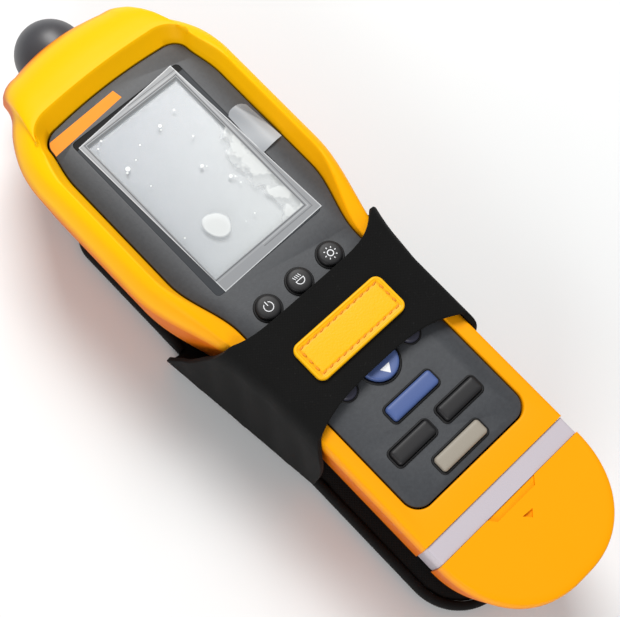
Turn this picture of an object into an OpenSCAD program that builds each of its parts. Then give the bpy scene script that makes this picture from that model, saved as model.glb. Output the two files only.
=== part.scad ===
// Handheld vibration meter in its belt holster.
// Millimetres. +Z points out of the face panel and +Y runs towards the sensor tip.
// The origin lies on the table under the middle of the meter.

/* [Meter outline] */
// Length from the tip of the sensor cap to the end of the battery door
meter_l = 242; // [232:1:256]
// Depth from the face panel to the back of the rear housing
body_depth = 41; // [39:0.5:44]
// Half width of the head along its widest line
head_half = 38.8; // [37.5:0.1:40]
// Half width of the grip along its widest line
grip_half = 29.2; // [28.6:0.1:30.5]
// Half width of the nose, behind its rounded corners
nose_half = 25.3; // [24:0.1:27]
// Length of the nose from the rim's crest to its front
nose_l = 23.8; // [22:0.1:26]
// Radius of the nose's corners seen from above
nose_corner = 7; // [5:0.5:9]
// Bow of the nose's front edge
nose_sag = 5; // [3:0.5:6]
// Wall thickness of the housings
wall = 2.2; // [1.8:0.1:2.6]

/* [Rim and face panel] */
// Height of the head's crest over the face panel
head_rise = 5.2; // [4:0.1:6]
// Height of the grip's rim over the face panel
grip_rise = 2; // [1.9:0.1:3]
// Inset of the crest from the widest line, at the head's sides
crest_inset = 6.9; // [6:0.1:7.5]
// Inset of the crest from the widest line, along the grip
grip_inset = 1.5; // [1:0.1:2]
// Width of the sloping bevel at the top of the panel
bevel_top = 4.8; // [4:0.1:5.5]
// Width of the sloping bevel at the sides of the panel
bevel_side = 2.3; // [1.8:0.1:2.6]
// Width of the flat rim beside the panel, along the grip
rim_w = 4.2; // [3.8:0.1:4.8]
// Radius of the panel's lower corners
panel_corner = 5.5; // [4:0.5:7]
// Thickness of the face panel
panel_t = 2.2; // [2:0.1:2.6]

/* [Display] */
// Width of the panel at each side of the window
window_side = 8.3; // [7.6:0.1:9]
// Width of the panel strip above the window
strip_w = 8.4; // [8:0.1:10]
// Width of the window's printed border
border = 3.1; // [2.5:0.1:3.5]
// Thickness of the display window
lens_t = 1.2; // [1:0.1:1.3]
// Width by which the transport film is narrower than the window
film_narrow = 2.6; // [2:0.1:4]
// Length by which the transport film is shorter than the window
film_short = 0.2; // [0:0.1:2]
// Turn of the transport film on the window
film_turn = 2.4; // [0:0.1:3]

/* [Keys] */
// Radius of the three round buttons
button_r = 3.9; // [3.5:0.1:4.2]
// Distance between the round buttons
button_pitch = 12.7; // [12:0.1:13.5]
// Distance from the window to the round buttons
button_drop = 12.1; // [11.5:0.1:13]
// Radius of the up and down rocker
nav_r = 6.5; // [6:0.1:6.8]
// Radius of the small keys beside the rocker
side_key_r = 3.1; // [2.8:0.1:3.4]
// Distance of the small keys from the middle
side_key_x = 13.1; // [12.8:0.1:13.8]
// Length of the enter and setup keys
long_key_l = 18.2; // [17:0.1:19]
// Length of the save and memory keys
short_key_l = 15.2; // [14:0.1:16]
// Width of the wide keys
key_w = 5.1; // [4.6:0.1:5.5]
// Distance between the rows of wide keys
row_pitch = 10; // [9.5:0.1:10.5]
// Distance between the middles of the save and memory keys
pair_pitch = 19.5; // [19:0.1:20.5]
// Distance from the enter key to the rocker
nav_pitch = 14.1; // [13.5:0.1:14.6]
// Distance from the rocker to the round buttons
button_rise = 33.2; // [32:0.1:34]
// Distance from the panel's lower edge to the setup key
key_margin = 5.9; // [5.4:0.1:6.5]
// Travel of a pressed key
key_travel = 0.6; // [0.4:0.1:0.6]
// Half angle through which the rocker tilts
nav_tilt = 4; // [3:0.5:4]

/* [Sensor] */
// Radius of the rubber cap over the sensor tip
cap_r = 11.7; // [11:0.1:12.5]
// Distance that the cap stands out of the nose
cap_out = 11.4; // [11:0.1:13]
// Height of the sensor's axis over the back of the housing
sensor_h = 22; // [21:0.5:23]
// Radius of the sensor's body
sensor_r = 9; // [8:0.5:9.5]
// Length of the sensor's body
sensor_l = 32; // [28:1:36]
// Radius of the steel tip's shank
tip_r = 4.5; // [4:0.1:5]

/* [Battery end] */
// Width of the translucent indicator ring
ring_w = 6.4; // [5:0.2:7]
// Distance from the ring to the panel
ring_margin = 8.1; // [7:0.1:9]
// Radius of an AA cell
cell_r = 7.1; // [7:0.05:7.2]
// Length of an AA cell
cell_l = 50.5; // [50:0.1:50.5]
// Distance that the cells reach into the door
cell_out = 16; // [14:0.5:16.5]
// Width of the thumb recess at its wide side
recess_w = 19.8; // [16:0.2:22]
// Length of the thumb recess
recess_l = 2.3; // [1.5:0.1:4]

/* [Holster] */
// Thickness of the backing pad
pad_t = 4; // [3:0.2:5]
// Half width of the pad beside the head
pad_half = 31.4; // [30:0.1:33]
// Half width of the pad beside the grip
pad_grip_half = 29.8; // [29:0.1:31]
// Distance that the pad stays short of the battery door's end
pad_short = 9; // [6:0.5:12]
// Length of the pad
pad_length = 180; // [170:1:190]
// Thickness of the elastic band
band_t = 1.8; // [1.4:0.1:2.2]
// Length of the band along the meter at the middle
band_l = 30; // [27:0.5:32]
// Distance from the round buttons to the band's upper edge
band_drop = 4.2; // [4:0.1:5]
// Rise of the band's upper edge from the middle to the sides
band_flare = 18; // [14:0.5:19]
// Fall of the band's lower edge from the middle to the sides
band_fall = 11; // [8:0.5:12]
// Length of the rubber patch across the band
patch_l = 34.2; // [30:0.2:38]
// Width of the rubber patch along the meter
patch_w = 13; // [11:0.2:15]
// Thickness of the rubber patch
patch_t = 1.4; // [1:0.1:1.8]
// Thickness of the belt loop's webbing
loop_t = 1.2; // [1:0.1:1.5]

/* [Hidden] */

// Clearances and the overrun of every cut
fit = 0.1;
slip = 0.2;
rest_gap = 0.2;
cut = 1;

// Heights
pad_z = loop_t;
back_z = pad_z + pad_t + rest_gap;
panel_z = back_z + body_depth;
floor_z = panel_z - panel_t;
rim_z = panel_z + grip_rise;
crest_z = panel_z + head_rise;
wide_drop = 4.4;
wide_z = panel_z - wide_drop;
nose_drop = 9.6;
split_drop = 8.4;
split_z = panel_z - split_drop;
seal_t = 0.5;
sensor_z = back_z + sensor_h;

// Places along the meter
tip_y = meter_l / 2;
nose_y = tip_y - cap_out;
crest_y = nose_y - nose_l;
panel_y = crest_y - bevel_top;
window_y = panel_y - strip_w;
end_flat = 2;
door_y = grip_half - meter_l / 2;
ring_y = door_y + ring_w;
panel_end = ring_y + ring_margin;
setup_y = panel_end + key_margin;
save_y = setup_y + row_pitch;
enter_y = save_y + row_pitch;
nav_y = enter_y + nav_pitch;
button_y = nav_y + button_rise;
window_l = window_y - button_y - button_drop;
window_mid = window_y - window_l / 2;

// Bends of the outline, measured from the pieces that they go round
flare_l = 7.5;
flare_run = 34;
flare_share = 0.8;
taper_lead = 18.6;
taper_run = 40;
taper_y = window_y - window_l + taper_lead;
waist_y = taper_y - taper_run;
rise_run = 36;
ridge = 0.4;

// Counts of points along one half of an outline
front_n = 4;
corner_n = 4;
flare_n = 5;
side_n = 2;
taper_n = 6;
grip_n = 2;
end_n = 8;
shoulder_n = 5;

// Rear wall: share of the way to the back's outline, and share of the depth
rear_shares = [[1, 1], [0.8, 0.97], [0.64, 0.9], [0.5, 0.76], [0, 0]];

function ease(u) = u * u * (3 - 2 * u);
function clamp(u) = min(1, max(0, u));
function crest_height(y) = rim_z + (crest_z - rim_z) * ease(clamp((y - waist_y) / rise_run));
function wide_height(y) = wide_z - nose_drop * ease(clamp((y - crest_y) / nose_l));
function grip_width(y) = grip_half + (head_half - grip_half) * ease(clamp((y - waist_y) / taper_run));

// Right half of an outline from the middle of its top to the middle of its bottom
function half_outline(top, top_half, sag, corner, corner_y, side_y, side_half, bend_y, grip_y,
        grip, end_y, end_r, end_l) =
    let (edge_x = top_half - corner)
    let (edge_y = top - sag * pow(edge_x / top_half, 2))
    concat(
        [for (k = [0 : front_n - 1])
            let (x = edge_x * k / front_n) [x, top - sag * pow(x / top_half, 2)]],
        [for (k = [0 : corner_n - 1])
            let (a = 90 * k / corner_n)
            [edge_x + corner * sin(a), corner_y + (edge_y - corner_y) * cos(a)]],
        [for (k = [0 : flare_n - 1])
            let (u = k / flare_n)
            [top_half + (side_half - top_half) * ease(pow(u, flare_share)),
                corner_y + (side_y - corner_y) * u]],
        [for (k = [0 : side_n - 1])
            [side_half, side_y + (bend_y - side_y) * k / side_n]],
        [for (k = [0 : taper_n - 1])
            let (u = k / taper_n)
            [side_half + (grip - side_half) * ease(u), bend_y + (grip_y - bend_y) * u]],
        [for (k = [0 : grip_n - 1])
            [grip, grip_y + (end_y - grip_y) * k / grip_n]],
        [for (k = [0 : end_n])
            let (a = 90 * k / end_n)
            [grip - end_r + end_r * cos(a), end_y - end_l * sin(a)]]);

function closed(half) =
    concat(half, [for (k = [len(half) - 1 : -1 : 1]) [-half[k][0], half[k][1]]]);

// Widest line of the body, drawn in by d
function wide_outline(d) = half_outline(nose_y - d, nose_half - d, nose_sag, nose_corner,
    nose_y - flare_l, nose_y - flare_l - flare_run, head_half - d, taper_y, waist_y,
    grip_half - d, door_y, grip_half - d - end_flat, grip_half - d);

// Crest of the rim, drawn in by d
crest_half = head_half - crest_inset;
crest_taper = 4;
crest_top_half = crest_half - crest_taper;
crest_lead = 2;
crest_lag = 8;
crest_sag = 1.5;
crest_corner = 6;
crest_flare = 7.2;
crest_run = 17;
function crest_outline(d) = half_outline(crest_y - d, crest_top_half - d, crest_sag,
    crest_corner, crest_y - crest_flare, crest_y - crest_flare - crest_run, crest_half - d,
    taper_y - crest_lead, waist_y + crest_lag, grip_half - grip_inset - d, door_y,
    grip_half - grip_inset - d - end_flat, grip_half - grip_inset - d);

// Back of the rear housing, drawn in by d
back_slope = 16.6;
back_nose_inset = 9.3;
back_inset = 12.8;
back_grip_inset = 11.2;
back_run = 22;
back_y = nose_y - back_slope;
back_nose_half = nose_half - back_nose_inset;
back_half = head_half - back_inset;
back_grip_half = grip_half - back_grip_inset;
function back_outline(d) = half_outline(back_y - d, back_nose_half - d, nose_sag, nose_corner,
    back_y - flare_l, back_y - flare_l - back_run, back_half - d, taper_y, waist_y,
    back_grip_half - d, door_y, back_grip_half - d - end_flat, back_grip_half - d);

// Face panel, drawn in by d
panel_half = crest_half - bevel_side;
panel_grip_half = grip_half - grip_inset - rim_w;
panel_taper = 2.2;
panel_top_half = panel_half - panel_taper;
panel_lead = 6;
panel_lag = 9;
panel_sag = 2;
panel_top_corner = 5;
panel_flare = 6.5;
panel_run = 13;
function panel_outline(d) = half_outline(panel_y - d, panel_top_half - d, panel_sag,
    panel_top_corner, panel_y - panel_flare, panel_y - panel_flare - panel_run,
    panel_half - d, taper_y - panel_lead, waist_y + panel_lag, panel_grip_half - d,
    panel_end + panel_corner + d / 2, panel_corner - d / 2, panel_corner - d / 2);

// Top of the recess round the panel, drawn in by d
rim_step = 0.6;
recess_lead = 4;
function recess_outline(d) = half_outline(crest_y - ridge - d, crest_top_half - ridge - d,
    crest_sag, crest_corner, crest_y - crest_flare, crest_y - crest_flare - crest_run,
    crest_half - ridge - d, taper_y - recess_lead, waist_y + crest_lag, panel_grip_half + rim_step - d,
    panel_end + panel_corner, panel_corner + rim_step - d, panel_corner + rim_step - d);

// A closed surface through rings of points, with caps that are flat or folded across the middle
module skin(rings, flat = false) {
    n = len(rings[0]);
    half = (n + 1) / 2;
    last = (len(rings) - 1) * n;
    sides = [for (j = [0 : len(rings) - 2], i = [0 : n - 1])
        let (a = j * n + i, b = j * n + (i + 1) % n)
        each [[a, b, b + n], [a, b + n, a + n]]];
    strip = [for (k = [1 : half - 2]) [k, k + 1, n - k - 1, n - k]];
    folded = concat([[n - 1, 1, 0]], [for (f = strip) [f[3], f[2], f[1], f[0]]],
        [[last, last + 1, last + n - 1]], [for (f = strip) [for (v = f) v + last]]);
    level = [[for (k = [n - 1 : -1 : 0]) k], [for (k = [0 : n - 1]) k + last]];
    polyhedron([for (r = rings) each r], concat(sides, flat ? level : folded));
}

// The meter's whole body, drawn in by d on every side
module form(d) {
    wide = closed(wide_outline(d));
    crest = closed(crest_outline(d));
    back = closed(back_outline(d));
    count = len(wide) - 1;
    rear = [for (s = rear_shares) [for (k = [0 : count])
        let (w = wide[k], z = wide_height(w[1]))
        concat(w + (back[k] - w) * s[0], z + (back_z + d - z) * s[1])]];
    shoulder = [for (j = [1 : shoulder_n]) let (t = 90 * j / shoulder_n)
        [for (k = [0 : count])
            let (w = wide[k], c = crest[k], z = wide_height(w[1]))
            concat(c + (w - c) * cos(t), z + (crest_height(c[1]) - d - z) * sin(t))]];
    skin(concat(rear, shoulder));
}

// Everything between two heights and two places along the meter
module slab(z0, z1, y0, y1) {
    translate([-head_half - cut, y0, z0])
        cube([2 * (head_half + cut), y1 - y0, z1 - z0]);
}

module upright(half, z0, z1) {
    translate([0, 0, z0]) linear_extrude(z1 - z0) polygon(closed(half));
}

// Rounded plate about a middle point
module plate(w, l, r, z0, z1, mid_y = 0) {
    translate([0, mid_y, z0]) linear_extrude(z1 - z0) rounded(w, l, r);
}

module rounded(w, l, r) {
    union() {
        square([w - 2 * r, l], center = true);
        square([w, l - 2 * r], center = true);
        for (x = [-1, 1], y = [-1, 1])
            translate([x * (w / 2 - r), y * (l / 2 - r)]) circle(r, $fn = 32);
    }
}

// Round piece along +Y at the sensor's height
module along(x, z, r, y0, y1) {
    translate([x, y0, z]) rotate([-90, 0, 0]) cylinder(r = r, h = y1 - y0, $fn = 64);
}

// Housing
ledge_w = 2;
nose_bore_r = cap_r + slip;
screw_inset = 2.6;
screw_x = panel_half - screw_inset;
screw_drop = 9;
screw_lag = 2;
screw_ys = [panel_y - screw_drop, taper_y - screw_lag];
screw_r = 1.4;
screw_head_r = 2.6;
screw_head_t = 1.8;
well_depth = 16.6;
well_z = back_z + well_depth;
post_r = 4.4;
boss_r = 3;
sleeve_t = 2;
grip_seat = floor_z - wall;

// Tube in the nose that holds the sensor's grommet
module sleeve() {
    along(0, sensor_z, nose_bore_r + sleeve_t, body_end - grommet_l, tip_y);
}

module at_screws() {
    for (x = [-screw_x, screw_x], y = screw_ys) translate([x, y, 0]) children();
}

module panel_recess() {
    panel = closed(panel_outline(0));
    top = closed(recess_outline(0));
    skin([[for (p = panel) concat(p, floor_z)],
        [for (p = panel) concat(p, panel_z)],
        [for (p = top) concat(p, crest_height(p[1]))],
        [for (p = top) concat(p, crest_z + cut)]]);
}

module front_housing() {
    color("gold") difference() {
        union() {
            difference() {
                intersection() {
                    form(0);
                    slab(split_z + seal_t / 2, crest_z + cut, ring_y, tip_y);
                }
                panel_recess();
                upright(panel_outline(ledge_w), split_z, floor_z + cut);
                difference() {
                    intersection() {
                        form(wall);
                        slab(split_z, grip_seat, ring_y - cut, tip_y);
                    }
                    sleeve();
                }
            }
            at_screws() translate([0, 0, split_z + seal_t / 2])
                cylinder(r = boss_r, h = grip_seat - split_z, $fn = 48);
        }
        along(0, sensor_z, nose_bore_r, crest_y, tip_y);
        at_screws() translate([0, 0, split_z])
            cylinder(r = screw_r + fit / 2, h = grip_seat - split_z + cut, $fn = 32);
    }
}

// Sockets in the right side of the head
socket_h = 20;
socket_set = 4.4;
socket_l = 6.6;
audio_drop = 2;
socket_pitch = 11;
socket_z = back_z + socket_h;
socket_out = head_half - socket_set;
socket_in = socket_out - socket_l;
audio_y = window_mid - audio_drop;
sensor_socket_y = audio_y + socket_pitch;
usb_y = sensor_socket_y + socket_pitch;
audio_r = 3;
audio_bore = 1.8;
sensor_socket_r = 3.6;
sensor_socket_bore = 2.1;
usb_w = 9;
usb_h = 5;
usb_wall = 0.9;
socket_depth = 6;

module across(y, r, x0, x1) {
    translate([x0, y, socket_z]) rotate([0, 90, 0]) cylinder(r = r, h = x1 - x0, $fn = 48);
}

module usb_block(d, x0, x1) {
    translate([x0, usb_y - usb_w / 2 + d, socket_z - usb_h / 2 + d])
        cube([x1 - x0, usb_w - 2 * d, usb_h - 2 * d]);
}

module usb_socket() {
    color("silver") difference() {
        usb_block(0, socket_in, socket_out);
        usb_block(usb_wall, socket_out - socket_depth, socket_out + cut);
    }
}

module audio_jack() {
    color("dimgray") difference() {
        across(audio_y, audio_r, socket_in, socket_out);
        across(audio_y, audio_bore, socket_out - socket_depth, socket_out + cut);
    }
}

module sensor_socket() {
    color("goldenrod") difference() {
        across(sensor_socket_y, sensor_socket_r, socket_in, socket_out);
        across(sensor_socket_y, sensor_socket_bore, socket_out - socket_depth,
            socket_out + cut);
    }
}

// Windows beside the sensor
eye_pitch = 4.1;
eye_set = 4.9;
eye_x = cap_r + eye_pitch;
eye_r = 2.6;
eye_y = nose_y - eye_set;
eye_l = 6;

module rear_housing() {
    color("gold") difference() {
        intersection() {
            form(0);
            slab(back_z - cut, split_z - seal_t / 2, ring_y, tip_y);
        }
        difference() {
            intersection() {
                form(wall);
                slab(back_z, split_z, ring_y - cut, tip_y);
            }
            at_screws() translate([0, 0, back_z])
                cylinder(r = post_r, h = split_z - back_z + cut, $fn = 48);
            sleeve();
        }
        along(0, sensor_z, nose_bore_r, crest_y, tip_y);
        along(-eye_x, sensor_z, eye_r + fit, crest_y, tip_y);
        along(eye_x, sensor_z, eye_r + fit, crest_y, tip_y);
        across(audio_y, audio_r + fit, socket_in - cut, head_half);
        across(sensor_socket_y, sensor_socket_r + fit, socket_in - cut, head_half);
        usb_block(-fit, socket_in - cut, head_half);
        at_screws() translate([0, 0, back_z - cut])
            cylinder(r = screw_head_r + slip, h = well_z - back_z + cut, $fn = 48);
        at_screws() translate([0, 0, back_z])
            cylinder(r = screw_r + slip, h = split_z - back_z, $fn = 32);
    }
}

seal_inset = 0.7;
module housing_seal() {
    color("black") difference() {
        intersection() {
            form(seal_inset);
            slab(split_z - seal_t / 2, split_z + seal_t / 2, ring_y, tip_y);
        }
        intersection() {
            form(wall);
            slab(split_z - cut, split_z + cut, ring_y - cut, tip_y);
        }
        along(0, sensor_z, nose_bore_r, crest_y, tip_y);
    }
}

module housing_screws() {
    color("silver") at_screws() union() {
        translate([0, 0, well_z - screw_head_t])
            cylinder(r = screw_head_r, h = screw_head_t, $fn = 48);
        translate([0, 0, well_z]) cylinder(r = screw_r, h = grip_seat - well_z, $fn = 32);
    }
}

// Face panel, window and film
window_r = 2;
window_w = 2 * (panel_half - window_side);
film_w = window_w - film_narrow;
film_l = window_l - film_short;
window_ledge = 2.2;
lens_top = panel_z - fit;
film_x = 0.6;
film_t = 0.2;
film_z = panel_z + fit / 2;
tab_w = 18;
tab_out = 7;
tab_y = 2;
key_gap = 0.25;
nav_gap = 0.4;

module face_panel() {
    color("dimgray") difference() {
        upright(panel_outline(fit), floor_z, panel_z);
        plate(window_w + slip, window_l + slip, window_r + fit, lens_top - lens_t,
            panel_z + cut, window_mid);
        plate(window_w - 2 * window_ledge, window_l - 2 * window_ledge, window_r,
            floor_z - cut, panel_z, window_mid);
        for (x = [-button_pitch, 0, button_pitch]) panel_hole(x, button_y, button_r + key_gap);
        for (x = [-side_key_x, side_key_x]) panel_hole(x, nav_y, side_key_r + key_gap);
        panel_hole(0, nav_y, nav_r + nav_gap);
        wide_hole(0, enter_y, long_key_l);
        wide_hole(0, setup_y, long_key_l);
        wide_hole(-pair_pitch / 2, save_y, short_key_l);
        wide_hole(pair_pitch / 2, save_y, short_key_l);
    }
}

module panel_hole(x, y, r) {
    translate([x, y, floor_z - cut]) cylinder(r = r, h = panel_t + 2 * cut, $fn = 64);
}

module wide_hole(x, y, l) {
    translate([x, 0, 0]) plate(l + 2 * key_gap, key_w + 2 * key_gap, key_corner + key_gap,
        floor_z - cut, panel_z + cut, y);
}

module display_lens() {
    color("lightgray") plate(window_w, window_l, window_r, lens_top - lens_t, lens_top,
        window_mid);
}

module screen_film() {
    color("whitesmoke") translate([film_x, window_mid, film_z]) rotate([0, 0, film_turn])
        linear_extrude(film_t) union() {
            square([film_w, film_l], center = true);
            translate([film_w / 2, tab_y]) scale_free_tab();
        }
}

module scale_free_tab() {
    union() {
        translate([-tab_out / 2, -tab_w / 2]) square([tab_out, tab_w]);
        translate([tab_out / 2, 0]) square([tab_out, tab_w - tab_out], center = true);
        for (y = [-1, 1]) translate([tab_out / 2, y * (tab_w - tab_out) / 2])
            circle(tab_out / 2, $fn = 32);
    }
}

// Electronics
board_t = 1.5;
board_z = split_z;
board_inset = 6.5;
light_t = 1;
light_z = board_z + board_t + fit;
module_t = floor_z - fit - light_z - light_t - fit;
module_z = light_z + light_t + fit;
module_margin = 3;
module_end = 2;
module_w = window_w + module_margin;
module_l = window_l + module_end;
glass_inset = 2.5;
glass_drop = 0.4;
mat_t = 2.9;
mat_z = board_z + board_t + fit;
mat_margin = 3;
mat_end = button_y + button_r + mat_margin;

module lcd_module() {
    color("whitesmoke") difference() {
        plate(module_w, module_l, window_r, module_z, module_z + module_t, window_mid);
        plate(module_w - 2 * glass_inset, module_l - 2 * glass_inset, window_r / 2,
            module_z + module_t - glass_drop, module_z + module_t + cut, window_mid);
    }
}

module lcd_backlight() {
    color("white") plate(module_w - 2 * glass_inset, module_l - 2 * glass_inset,
        window_r / 2, light_z, light_z + light_t, window_mid);
}

module main_board() {
    color("darkgreen") upright(panel_outline(board_inset), board_z, board_z + board_t);
}

module keypad_mat() {
    color("gray") intersection() {
        upright(panel_outline(ledge_w + fit), mat_z, mat_z + mat_t);
        slab(mat_z - cut, mat_z + mat_t + cut, -meter_l / 2, mat_end);
    }
}

// Keys
flange_t = 0.8;
flange_w = 0.9;
key_top = rim_z - slip;
key_corner = 1.2;
crown = 0.5;
flange_z = floor_z - fit - flange_t;

// Round key with a domed top
module round_key(x, y, r) {
    dome_r = (r * r + crown * crown) / (2 * crown);
    translate([x, y, 0]) union() {
        translate([0, 0, flange_z]) cylinder(r = r + flange_w, h = flange_t, $fn = 48);
        intersection() {
            translate([0, 0, flange_z]) cylinder(r = r, h = key_top - flange_z, $fn = 64);
            translate([0, 0, key_top - dome_r]) sphere(r = dome_r, $fn = 96);
        }
    }
}

// Wide key, crowned along its length
module wide_key(x, y, l) {
    crown_r = (key_w * key_w / 4 + crown * crown) / (2 * crown);
    translate([x, 0, 0]) union() {
        plate(l + 2 * flange_w, key_w + 2 * flange_w, key_corner, flange_z,
            flange_z + flange_t, y);
        intersection() {
            plate(l, key_w, key_corner, flange_z, key_top, y);
            translate([-l, y, key_top - crown_r]) rotate([0, 90, 0])
                cylinder(r = crown_r, h = 2 * l, $fn = 96);
        }
    }
}

module power_button() { color("black") round_key(-button_pitch, button_y, button_r); }
module torch_button() { color("black") round_key(0, button_y, button_r); }
module backlight_button() { color("black") round_key(button_pitch, button_y, button_r); }
module left_key() { color("dimgray") round_key(-side_key_x, nav_y, side_key_r); }
module right_key() { color("dimgray") round_key(side_key_x, nav_y, side_key_r); }
module enter_key() { color("steelblue") wide_key(0, enter_y, long_key_l); }
module setup_key() { color("darkgray") wide_key(0, setup_y, long_key_l); }
module save_key() { color("black") wide_key(-pair_pitch / 2, save_y, short_key_l); }
module memory_key() { color("black") wide_key(pair_pitch / 2, save_y, short_key_l); }

// Rocker: a dished disc on a flange that has room to tilt under the panel
nav_room = 0.55;
nav_flange_t = 0.6;
dish = 0.4;
dish_share = 0.8;
module nav_key() {
    flange = floor_z - nav_room - nav_flange_t;
    dish_half = nav_r * dish_share;
    dish_r = (dish_half * dish_half + dish * dish) / (2 * dish);
    color("steelblue") translate([0, nav_y, 0]) difference() {
        union() {
            translate([0, 0, flange])
                cylinder(r = nav_r + flange_w - slip, h = nav_flange_t, $fn = 64);
            translate([0, 0, flange]) cylinder(r = nav_r, h = key_top - flange, $fn = 96);
        }
        translate([0, 0, key_top + dish_r - dish]) sphere(r = dish_r, $fn = 96);
    }
}

// Sensor
body_set = 7.4;
body_edge = 1;
body_end = nose_y - body_set;
collar_l = 5.6;
cap_t = 1.7;
collar_r = cap_r - cap_t;
grommet_l = 7;
grommet_r = cap_r + slip - fit;
tip_cover = 7.5;
tip_end = tip_y - tip_cover;
tip_round = 2.5;

// Turned piece about the sensor's axis, drawn as radius against place along +Y
module turned(points) {
    translate([0, 0, sensor_z]) rotate([-90, 0, 0]) rotate_extrude($fn = 72) polygon(points);
}

module sensor_body() {
    color("gray") turned([[0, body_end - sensor_l], [sensor_r - body_edge, body_end - sensor_l],
        [sensor_r, body_end - sensor_l + body_edge], [sensor_r, body_end], [0, body_end]]);
}

module sensor_tip() {
    color("silver") turned(concat(
        [[0, body_end], [tip_r, body_end]],
        [for (k = [0 : 6]) let (a = 15 * k)
            [tip_r - tip_round + tip_round * cos(a), tip_end - tip_round + tip_round * sin(a)]],
        [[0, tip_end]]));
}

module sensor_grommet() {
    inner = tip_r + fit;
    color("black") turned([[sensor_r + fit, body_end - grommet_l],
        [grommet_r, body_end - grommet_l], [grommet_r, body_end + fit],
        [collar_r, body_end + fit], [collar_r, body_end + collar_l],
        [inner, body_end + collar_l], [inner, body_end + fit], [sensor_r + fit, body_end + fit]]);
}

module sensor_cap() {
    rim = body_end + fit + slip;
    dome = tip_y - cap_r;
    mouth = body_end + collar_l + slip;
    room = tip_r + slip;
    color("black") turned(concat(
        [[collar_r + fit, rim], [cap_r, rim]],
        [for (k = [0 : 15]) let (a = 6 * k) [cap_r * cos(a), dome + cap_r * sin(a)]],
        [[0, tip_y], [0, tip_end + slip], [room, tip_end + slip], [room, mouth],
            [collar_r + fit, mouth]]));
}

module ir_lens() {
    color("dimgray") along(-eye_x, sensor_z, eye_r, eye_y - eye_l, eye_y);
}

module torch_lens() {
    color("white") along(eye_x, sensor_z, eye_r, eye_y - eye_l, eye_y);
}

// Battery end
cell_gap = 0.4;
cell_drop = 10;
cell_x = cell_r + cell_gap;
cell_z = split_z - cell_drop;
cell_end = door_y - cell_out;
cell_start = cell_end + cell_l;
spigot_l = 6;
spigot_t = 1.4;
tray_wall = 1.6;
spring_l = 3;
spring_r = 3;
spring_tip = 2;
contact_t = 0.6;
contact_y = cell_end - slip - contact_t;

module light_ring() {
    color("lavender") difference() {
        intersection() {
            form(0);
            slab(back_z - cut, rim_z + cut, door_y, ring_y);
        }
        form(wall);
    }
}

recess_depth = 0.8;
recess_slant = 2.2;
mark_drop = 6.3;
mark_y = door_y - mark_drop;
mark_half = 2;
mark_l = 2;
mark_t = 0.3;

module battery_door() {
    color("gold") union() {
        difference() {
            intersection() {
                form(0);
                slab(back_z - cut, rim_z + cut, -meter_l / 2 - cut, door_y);
            }
            difference() {
                intersection() {
                    form(wall);
                    slab(back_z, rim_z, -meter_l / 2, door_y + cut);
                }
                translate([-cell_x, -meter_l / 2, cell_z - spring_r])
                    cube([2 * cell_x, contact_y + meter_l / 2, 2 * spring_r]);
            }
            translate([0, door_y, rim_z - recess_depth]) linear_extrude(recess_depth + cut)
                polygon([[-recess_w / 2, cut], [recess_w / 2, cut], [recess_w / 2, 0],
                    [recess_w / 2 - recess_slant, -recess_l],
                    [recess_slant - recess_w / 2, -recess_l], [-recess_w / 2, 0]]);
        }
        translate([0, mark_y, rim_z]) linear_extrude(mark_t)
            polygon([[-mark_half, 0], [mark_half, 0], [0, -mark_l]]);
    }
}

module battery_tray() {
    block_half = cell_x + cell_r + tray_wall;
    tray_end = door_y - spigot_l;
    color("dimgray") difference() {
        union() {
            difference() {
                intersection() {
                    form(wall + fit);
                    slab(back_z, grip_seat - fit, tray_end, ring_y + spigot_l);
                }
                difference() {
                    intersection() {
                        form(wall + fit + spigot_t);
                        slab(back_z, grip_seat - fit - spigot_t, tray_end - cut,
                            ring_y + spigot_l + cut);
                    }
                    slab(back_z, grip_seat, door_y, door_y + tray_wall);
                }
            }
            translate([-block_half, tray_end, cell_z - cell_r - tray_wall])
                cube([2 * block_half, cell_start + spring_l + tray_wall - tray_end,
                    2 * (cell_r + tray_wall)]);
        }
        for (x = [-cell_x, cell_x])
            along(x, cell_z, cell_r + slip, tray_end - cut, cell_start + spring_l);
    }
}

module batteries() {
    nub_r = 2.7;
    nub_l = 1.2;
    color("darkslategray") for (side = [-1, 1]) union() {
        along(side * cell_x, cell_z, cell_r, cell_end + (side > 0 ? nub_l : 0),
            cell_start - (side > 0 ? 0 : nub_l));
        along(side * cell_x, cell_z, nub_r, cell_end + (side > 0 ? 0 : cell_l - nub_l - cut),
            cell_start - (side > 0 ? cell_l - nub_l - cut : 0));
    }
}

module battery_springs() {
    color("silver") for (x = [-cell_x, cell_x]) translate([x, cell_start, cell_z])
        rotate([-90, 0, 0]) cylinder(r1 = spring_tip, r2 = spring_r, h = spring_l, $fn = 48);
}

module door_contact() {
    color("silver") translate([-cell_x - spring_r, contact_y, cell_z - spring_r])
        cube([2 * (cell_x + spring_r), contact_t, 2 * spring_r]);
}

// Holster
pad_top = pad_z + pad_t;
pad_end = pad_short - meter_l / 2;
pad_start = pad_end + pad_length;
pad_corner = 19;
pad_shoulder = 12;
pad_sag = 2;
binding_w = 2.4;
band_gap = 0.4;
band_y = button_y - band_drop;
band_end = band_y - band_l;
flare_over = 2.8;
fall_under = 1.5;
ear_start = band_y + band_flare + flare_over;
ear_end = band_end - band_fall + fall_under;
ear_out = 5;

function pad_outline(d) = half_outline(pad_start - d, pad_half - d, pad_sag,
    pad_shoulder, pad_start - pad_shoulder, pad_start - pad_shoulder - flare_l, pad_half - d,
    ear_start, ear_end, pad_grip_half - d, pad_end + pad_corner, pad_corner - d,
    pad_corner - d);

// Half width of the sewn edge at a place along the band
function ear_width(y) =
    pad_grip_half + (pad_half + ear_out - pad_grip_half)
        * clamp((y - ear_end) / (ear_start - ear_end));

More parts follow.
